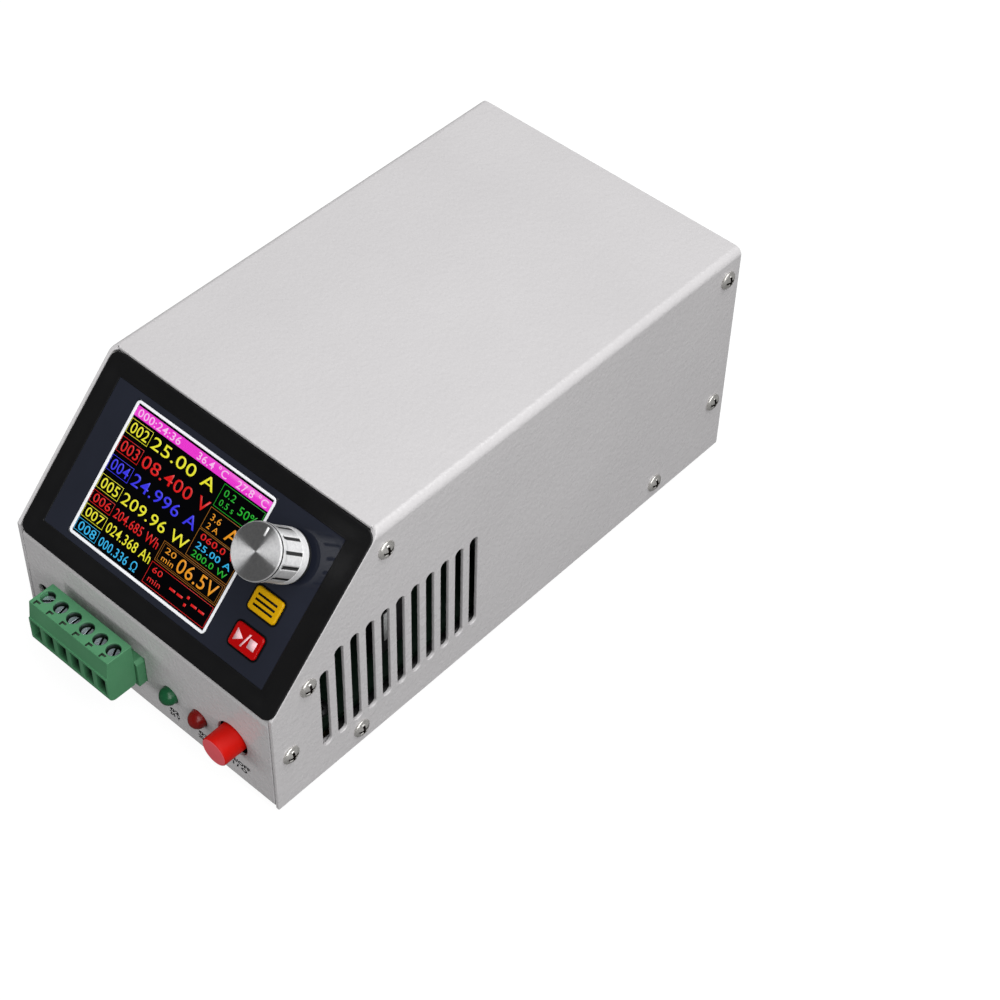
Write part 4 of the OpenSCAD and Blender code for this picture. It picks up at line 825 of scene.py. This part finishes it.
def plugMarks():
    # the corners of the pressed marks, split by way, give each mark its box
    order = markCorners[np.argsort(markCorners[:, 0])]
    groups = np.split(order, np.flatnonzero(np.diff(order[:, 0]) > plugLook["markApart"]) + 1)
    wide, bars = plugLook["markWidth"], []
    for group in groups:
        (left, low), (right, high) = group.min(0)[:2], group.max(0)[:2]
        bars += [block(left, high - wide, right, high), block(left, low, left + wide, high - wide)]
    flatInk("plug_marks", bars, plugLook["lift"], np.eye(3), np.array([0, 0, plugHigh[2]]), "markGreen",
            bodyOf["terminal_plug"])
    return len(groups)


print("plug: corner marks", plugMarks())


# Black sheets on the base and its flanges, painted shade for the dark inside of the case seen through the
# vents

shadeSheetLook = {"sheet": 1.2, "flange": 9.5, "ends": 22.0, "thick": 0.25, "gap": 0.04, "lap": 1.7}
chassisLow, chassisHigh = nodePoints("chassis").min(0) / mm, nodePoints("chassis").max(0) / mm
shadeSheetY = (chassisLow[1] + shadeSheetLook["ends"], chassisHigh[1] - shadeSheetLook["ends"])
shadeSheetX = chassisHigh[0] - shadeSheetLook["sheet"] - shadeSheetLook["gap"]
shadeSheetZ = chassisLow[2] + shadeSheetLook["sheet"] + shadeSheetLook["gap"]
flangeZ = chassisLow[2] + shadeSheetLook["flange"] + shadeSheetLook["gap"]
lap = shadeSheetLook["lap"]
inward, outward = axesFacing((-1, 0, 0), (0, 1, 0)), axesFacing((1, 0, 0), (0, 1, 0))
shadeSheets = {      # name: axes, level, rectangles on that face
    "liner_floor": (np.eye(3), shadeSheetZ, [block(-shadeSheetX, shadeSheetY[0], shadeSheetX, shadeSheetY[1])]),
    "liner_edges": (np.eye(3), flangeZ, [block(chassisHigh[0] - lap, shadeSheetY[0], chassisHigh[0], shadeSheetY[1]),
                                         block(chassisLow[0], shadeSheetY[0], chassisLow[0] + lap, shadeSheetY[1])]),
    "liner_right": (inward, -shadeSheetX, [block(shadeSheetY[0], -flangeZ, shadeSheetY[1], -shadeSheetZ)]),
    "liner_left": (outward, -shadeSheetX, [block(shadeSheetY[0], shadeSheetZ, shadeSheetY[1], flangeZ)])}
for name, (axes, level, rectangles) in shadeSheets.items():
    flatInk(name, rectangles, level, axes, np.zeros(3), "blackPlastic", "base",
            shadeSheetLook["thick"])
print("liners:", len(shadeSheets))


# Pale tab on the regulator, placed from its foot up

tabLook = {"wide": 4.4, "low": 8.6, "high": 19.2, "thick": 0.1}
tabLow, tabHigh = spanOf("regulator", outward, np.zeros(3))
tabMiddle = (tabLow + tabHigh)[0] / 2
tabShape = block(tabMiddle - tabLook["wide"] / 2, tabLow[1] + tabLook["low"],
                 tabMiddle + tabLook["wide"] / 2, tabLow[1] + tabLook["high"])
flatInk("regulator_tab", [tabShape], tabHigh[2], outward, np.zeros(3), "tinnedPlate", "base",
        tabLook["thick"])
print("regulator: one tab")


# Unused hole: a plain black cup behind the wall, painted shade for the dark inside of the hole

cupLook = {"x": -40.4, "z": 16.4, "radius": 2.9, "skin": 0.3, "flange": 3.3, "flangeTall": 0.6, "insideShade": 4.0,
           "floor": 0.4, "wall": 1.2, "gap": 0.01, "pole": 0.1, "around": 40, "sharp": 40}


def holeCup():
    # a cup turned about the hole axis: flange on the wall, inside open to the hole, closed floor
    look = cupLook
    inner, outer, flange, pole = look["radius"], look["radius"] + look["skin"], look["flange"], look["pole"]
    back, foot, seat = (-look["wall"] - look[label] for label in ("insideShade", "flangeTall", "gap"))
    floor = back + look["floor"]
    profile = [(pole, back), (outer, back), (outer, foot), (flange, foot), (flange, seat), (inner, seat),
               (inner, floor), (pole, floor)]
    at = placed([look["x"], look["z"], 0], frontAxes, frontOrigin)
    shape = closedRings(turnedRings(profile, circleAngles(look["around"])))
    piece = newPiece("hole_cup", shape, frontAxes, at, "blackPlastic", "base")
    piece.data.set_sharp_from_angle(angle=math.radians(look["sharp"]))


holeCup()


# Lamps: a round lens with a collar behind the wall

lampLook = {"collar": 0.36, "collarDepth": 1.0, "seatIn": 0.5, "fillet": 0.1, "straight": 0.5, "below": 0.2,
            "domeSteps": 12, "tip": 0.02, "pole": 0.1, "around": 48}


def lampPiece(name, finish):
    # short cylinder of the lens radius, closed by a quarter ellipse turned about the axis
    look = lampLook
    low, high = spanOf(name, frontAxes, frontOrigin)
    collar = (high[0] - low[0]) / 2
    lens, tall = collar - look["collar"], high[2] - low[2]
    bend = np.linspace(0, math.pi / 2 - look["tip"], look["domeSteps"])
    foot = -low[2] + look["straight"]      # the wall face and a little more
    dome = np.stack([lens * np.cos(bend), foot + (tall - foot) * np.sin(bend)], -1)
    ring = filleted([(collar - look["seatIn"], 0), (collar, 0), (collar, look["collarDepth"]),
                     (lens, look["collarDepth"]), (lens, foot - look["below"])], look["fillet"], 3)
    profile = np.concatenate([[(look["pole"], 0)], ring, dome])
    at = placed([*(low + high)[:2] / 2, low[2]], frontAxes, frontOrigin)
    shape = closedRings(turnedRings(profile, circleAngles(look["around"])))
    evenNormals(newPiece(name + "_lens", shape, frontAxes, at, finish, bodyOf[name], [name]))


lampPiece("green_lamp", "lampGreen")
lampPiece("red_lamp", "lampRed")
print("lamps: two lenses")


# Power button: a round cap with a softly rounded end, its end face paler as a painted reflection

capLook = {"bore": 1.7, "footFillet": 0.2, "fillet": 0.45, "filletSteps": 8, "crown": 0.1, "crownIn": 1.0,
           "draft": 0.1, "pole": 0.4, "sheenTall": 0.06, "sheenIn": 0.3, "around": 56}


def capPiece(name, finish):
    # a drafted wall and a crowned end, turned about the button axis
    look = capLook
    low, high = spanOf(name, frontAxes, frontOrigin)
    radius, tall = (high[0] - low[0]) / 2, high[2] - low[2]
    crown = tall - look["crown"]
    corners = [(look["bore"], 0), (radius, 0), (radius - look["draft"], crown), (look["crownIn"], tall)]
    wall = filleted(corners, [0, look["footFillet"], look["fillet"], 0], look["filletSteps"])
    profile = np.concatenate([wall, [(look["pole"], tall)]])
    at = placed([*(low + high)[:2] / 2, low[2]], frontAxes, frontOrigin)
    shape = closedRings(turnedRings(profile, circleAngles(look["around"])))
    piece = newPiece(name + "_cap", shape, frontAxes, at, finish, bodyOf[name], [name])
    # the flat of the end face turns paler and pinker: a painted reflection
    paintedSheen = (profile[:, 1] > crown - look["sheenTall"]) & (profile[:, 0] < radius - look["sheenIn"])
    markPoints(piece, "paintedSheen", np.append(np.repeat(paintedSheen, look["around"]), [0, 1]))
    evenNormals(piece)


capPiece("power_button", "powerRed")


# Front wall prints: plain numbers with units under the lamps, ON and OFF under the button

printLook = {"height": 1.5, "weight": 0.045, "thick": 0.01}
lampPrints = {"green_lamp": ("02", "24 V"), "red_lamp": ("03", "20 A")}
printRows = [(8.6, -0.9, 2.6), (6.8, -1.2, 2.8)]      # row foot height, then left and right of the lamp axis
buttonRows = [("ON/OFF", 9.2, -3.6, 5.7), ("I / O", 7.3, -0.9, 4.4)]


def frontPrint(text, left, low, right):
    return words(text, left, low, right, low + printLook["height"], printLook["weight"])


def frontPrints(name, rows):      # all rows of print that belong to one lamp or button
    low, high = spanOf(name, frontAxes, frontOrigin)
    axis = (low + high)[0] / 2
    letters = [frontPrint(text, axis + left, foot, axis + right) for text, foot, left, right in rows]
    flatInk(name + "_print", letters, 0, frontAxes, frontOrigin, "inkDark", "base",
            printLook["thick"])


for name, texts in lampPrints.items():
    frontPrints(name, [(text, *row) for text, row in zip(texts, printRows)])
frontPrints("power_button", buttonRows)
print("front: cap, lamps and prints")


# Camera at the photograph's viewing angle

viewer = {"place": (0.29848, -0.29300, 0.47339), "aim": (0.03315, 0.01422, 0.03), "roll": 1.836,
          "lens": 80.41, "sensor": 36}      # metres, degrees, mm


def viewMatrix(place, aim, roll):      # columns right, up and back, turned about the line of sight
    forward = unit(np.subtract(aim, place))
    right = unit(np.cross(forward, (0, 0, 1)))
    up = np.cross(right, forward)
    c, s = math.cos(math.radians(roll)), math.sin(math.radians(roll))
    columns = np.stack([c * right + s * up, c * up - s * right, -forward], -1)
    return Matrix.Translation(place) @ Matrix(columns.tolist()).to_4x4()


camera = bpy.data.objects.new("camera", bpy.data.cameras.new("camera"))
camera.data.lens = viewer["lens"]
camera.data.sensor_width = viewer["sensor"]
camera.matrix_world = viewMatrix(viewer["place"], viewer["aim"], viewer["roll"])
scene.collection.objects.link(camera)
scene.camera = camera


# Studio: pale floor, one long soft key from the right, weak low fills at the front left and behind

studio = {"floorSize": 6.0, "floorTint": 0.1, "floorRough": 0.9, "floorGlow": 0.05, "floorSeen": 0.88,
          "around": 0.12, "aim": (0, 0, 0.04)}
softboxes = {      # place, width, height, turn about its own middle, power in watts, seen in glossy faces
    "keyBox": ((0.65, -0.1, 1.07), 2.9, 0.9, 57.7, 34.0, True),
    "frontBox": ((-0.8, -1.0, 0.18), 1.0, 0.32, 0, 5.5, False),
    "backBox": ((-0.7, 1.1, 0.2), 1.2, 0.36, 0, 6.0, False)}


def softbox(name, place, width, height, turn, power, shine):
    light = bpy.data.lights.new(name, "AREA")
    light.shape = "RECTANGLE"
    light.size, light.size_y = width, height
    light.energy = power
    lamp = bpy.data.objects.new(name, light)
    lamp.matrix_world = viewMatrix(place, studio["aim"], turn)
    lamp.visible_glossy = shine
    scene.collection.objects.link(lamp)


for name, settings in softboxes.items():
    softbox(name, *settings)

half = studio["floorSize"] / 2
floorCorners, floorFaces = block(-half, -half, half, half)
floorMesh = bpy.data.meshes.new("floor")
floorMesh.from_pydata([(x, y, 0) for x, y in floorCorners], [], floorFaces)
floor = bpy.data.objects.new("floor", floorMesh)
scene.collection.objects.link(floor)
floorPaint = bpy.data.materials.new("floorPaint")
floorPaint.use_nodes = True
floorTree = floorPaint.node_tree
floorShader = floorTree.nodes["Principled BSDF"].inputs
floorShader["Base Color"].default_value = (studio["floorTint"],) * 3 + (1,)
floorShader["Roughness"].default_value = studio["floorRough"]
floorShader["Emission Color"].default_value = (1, 1, 1, 1)
floorSeen = addNode(floorTree, "LightPath").outputs["Is Camera Ray"]
floorGlow = addNode(floorTree, "Math", {0: floorSeen, 1: studio["floorSeen"], 2: studio["floorGlow"]},
                    operation="MULTIPLY_ADD").outputs[0]
floorTree.links.new(floorGlow, floorShader["Emission Strength"])
floorMesh.materials.append(floorPaint)

world = bpy.data.worlds.new("surroundings")
world.use_nodes = True
scene.world = world
worldTree = world.node_tree
sky = worldTree.nodes["Background"]
sky.inputs["Color"].default_value = (1, 1, 1, 1)
sky.inputs["Strength"].default_value = studio["around"]
plain = addNode(worldTree, "Background", {"Color": (1, 1, 1, 1), "Strength": 1.0})
seen = addNode(worldTree, "LightPath").outputs["Is Camera Ray"]
either = addNode(worldTree, "MixShader", {0: seen, 1: sky.outputs[0], 2: plain.outputs[0]})
worldTree.links.new(either.outputs[0], worldTree.nodes["World Output"].inputs["Surface"])
scene.view_settings.view_transform = "Standard"
print("studio:", len(softboxes), "soft lights")
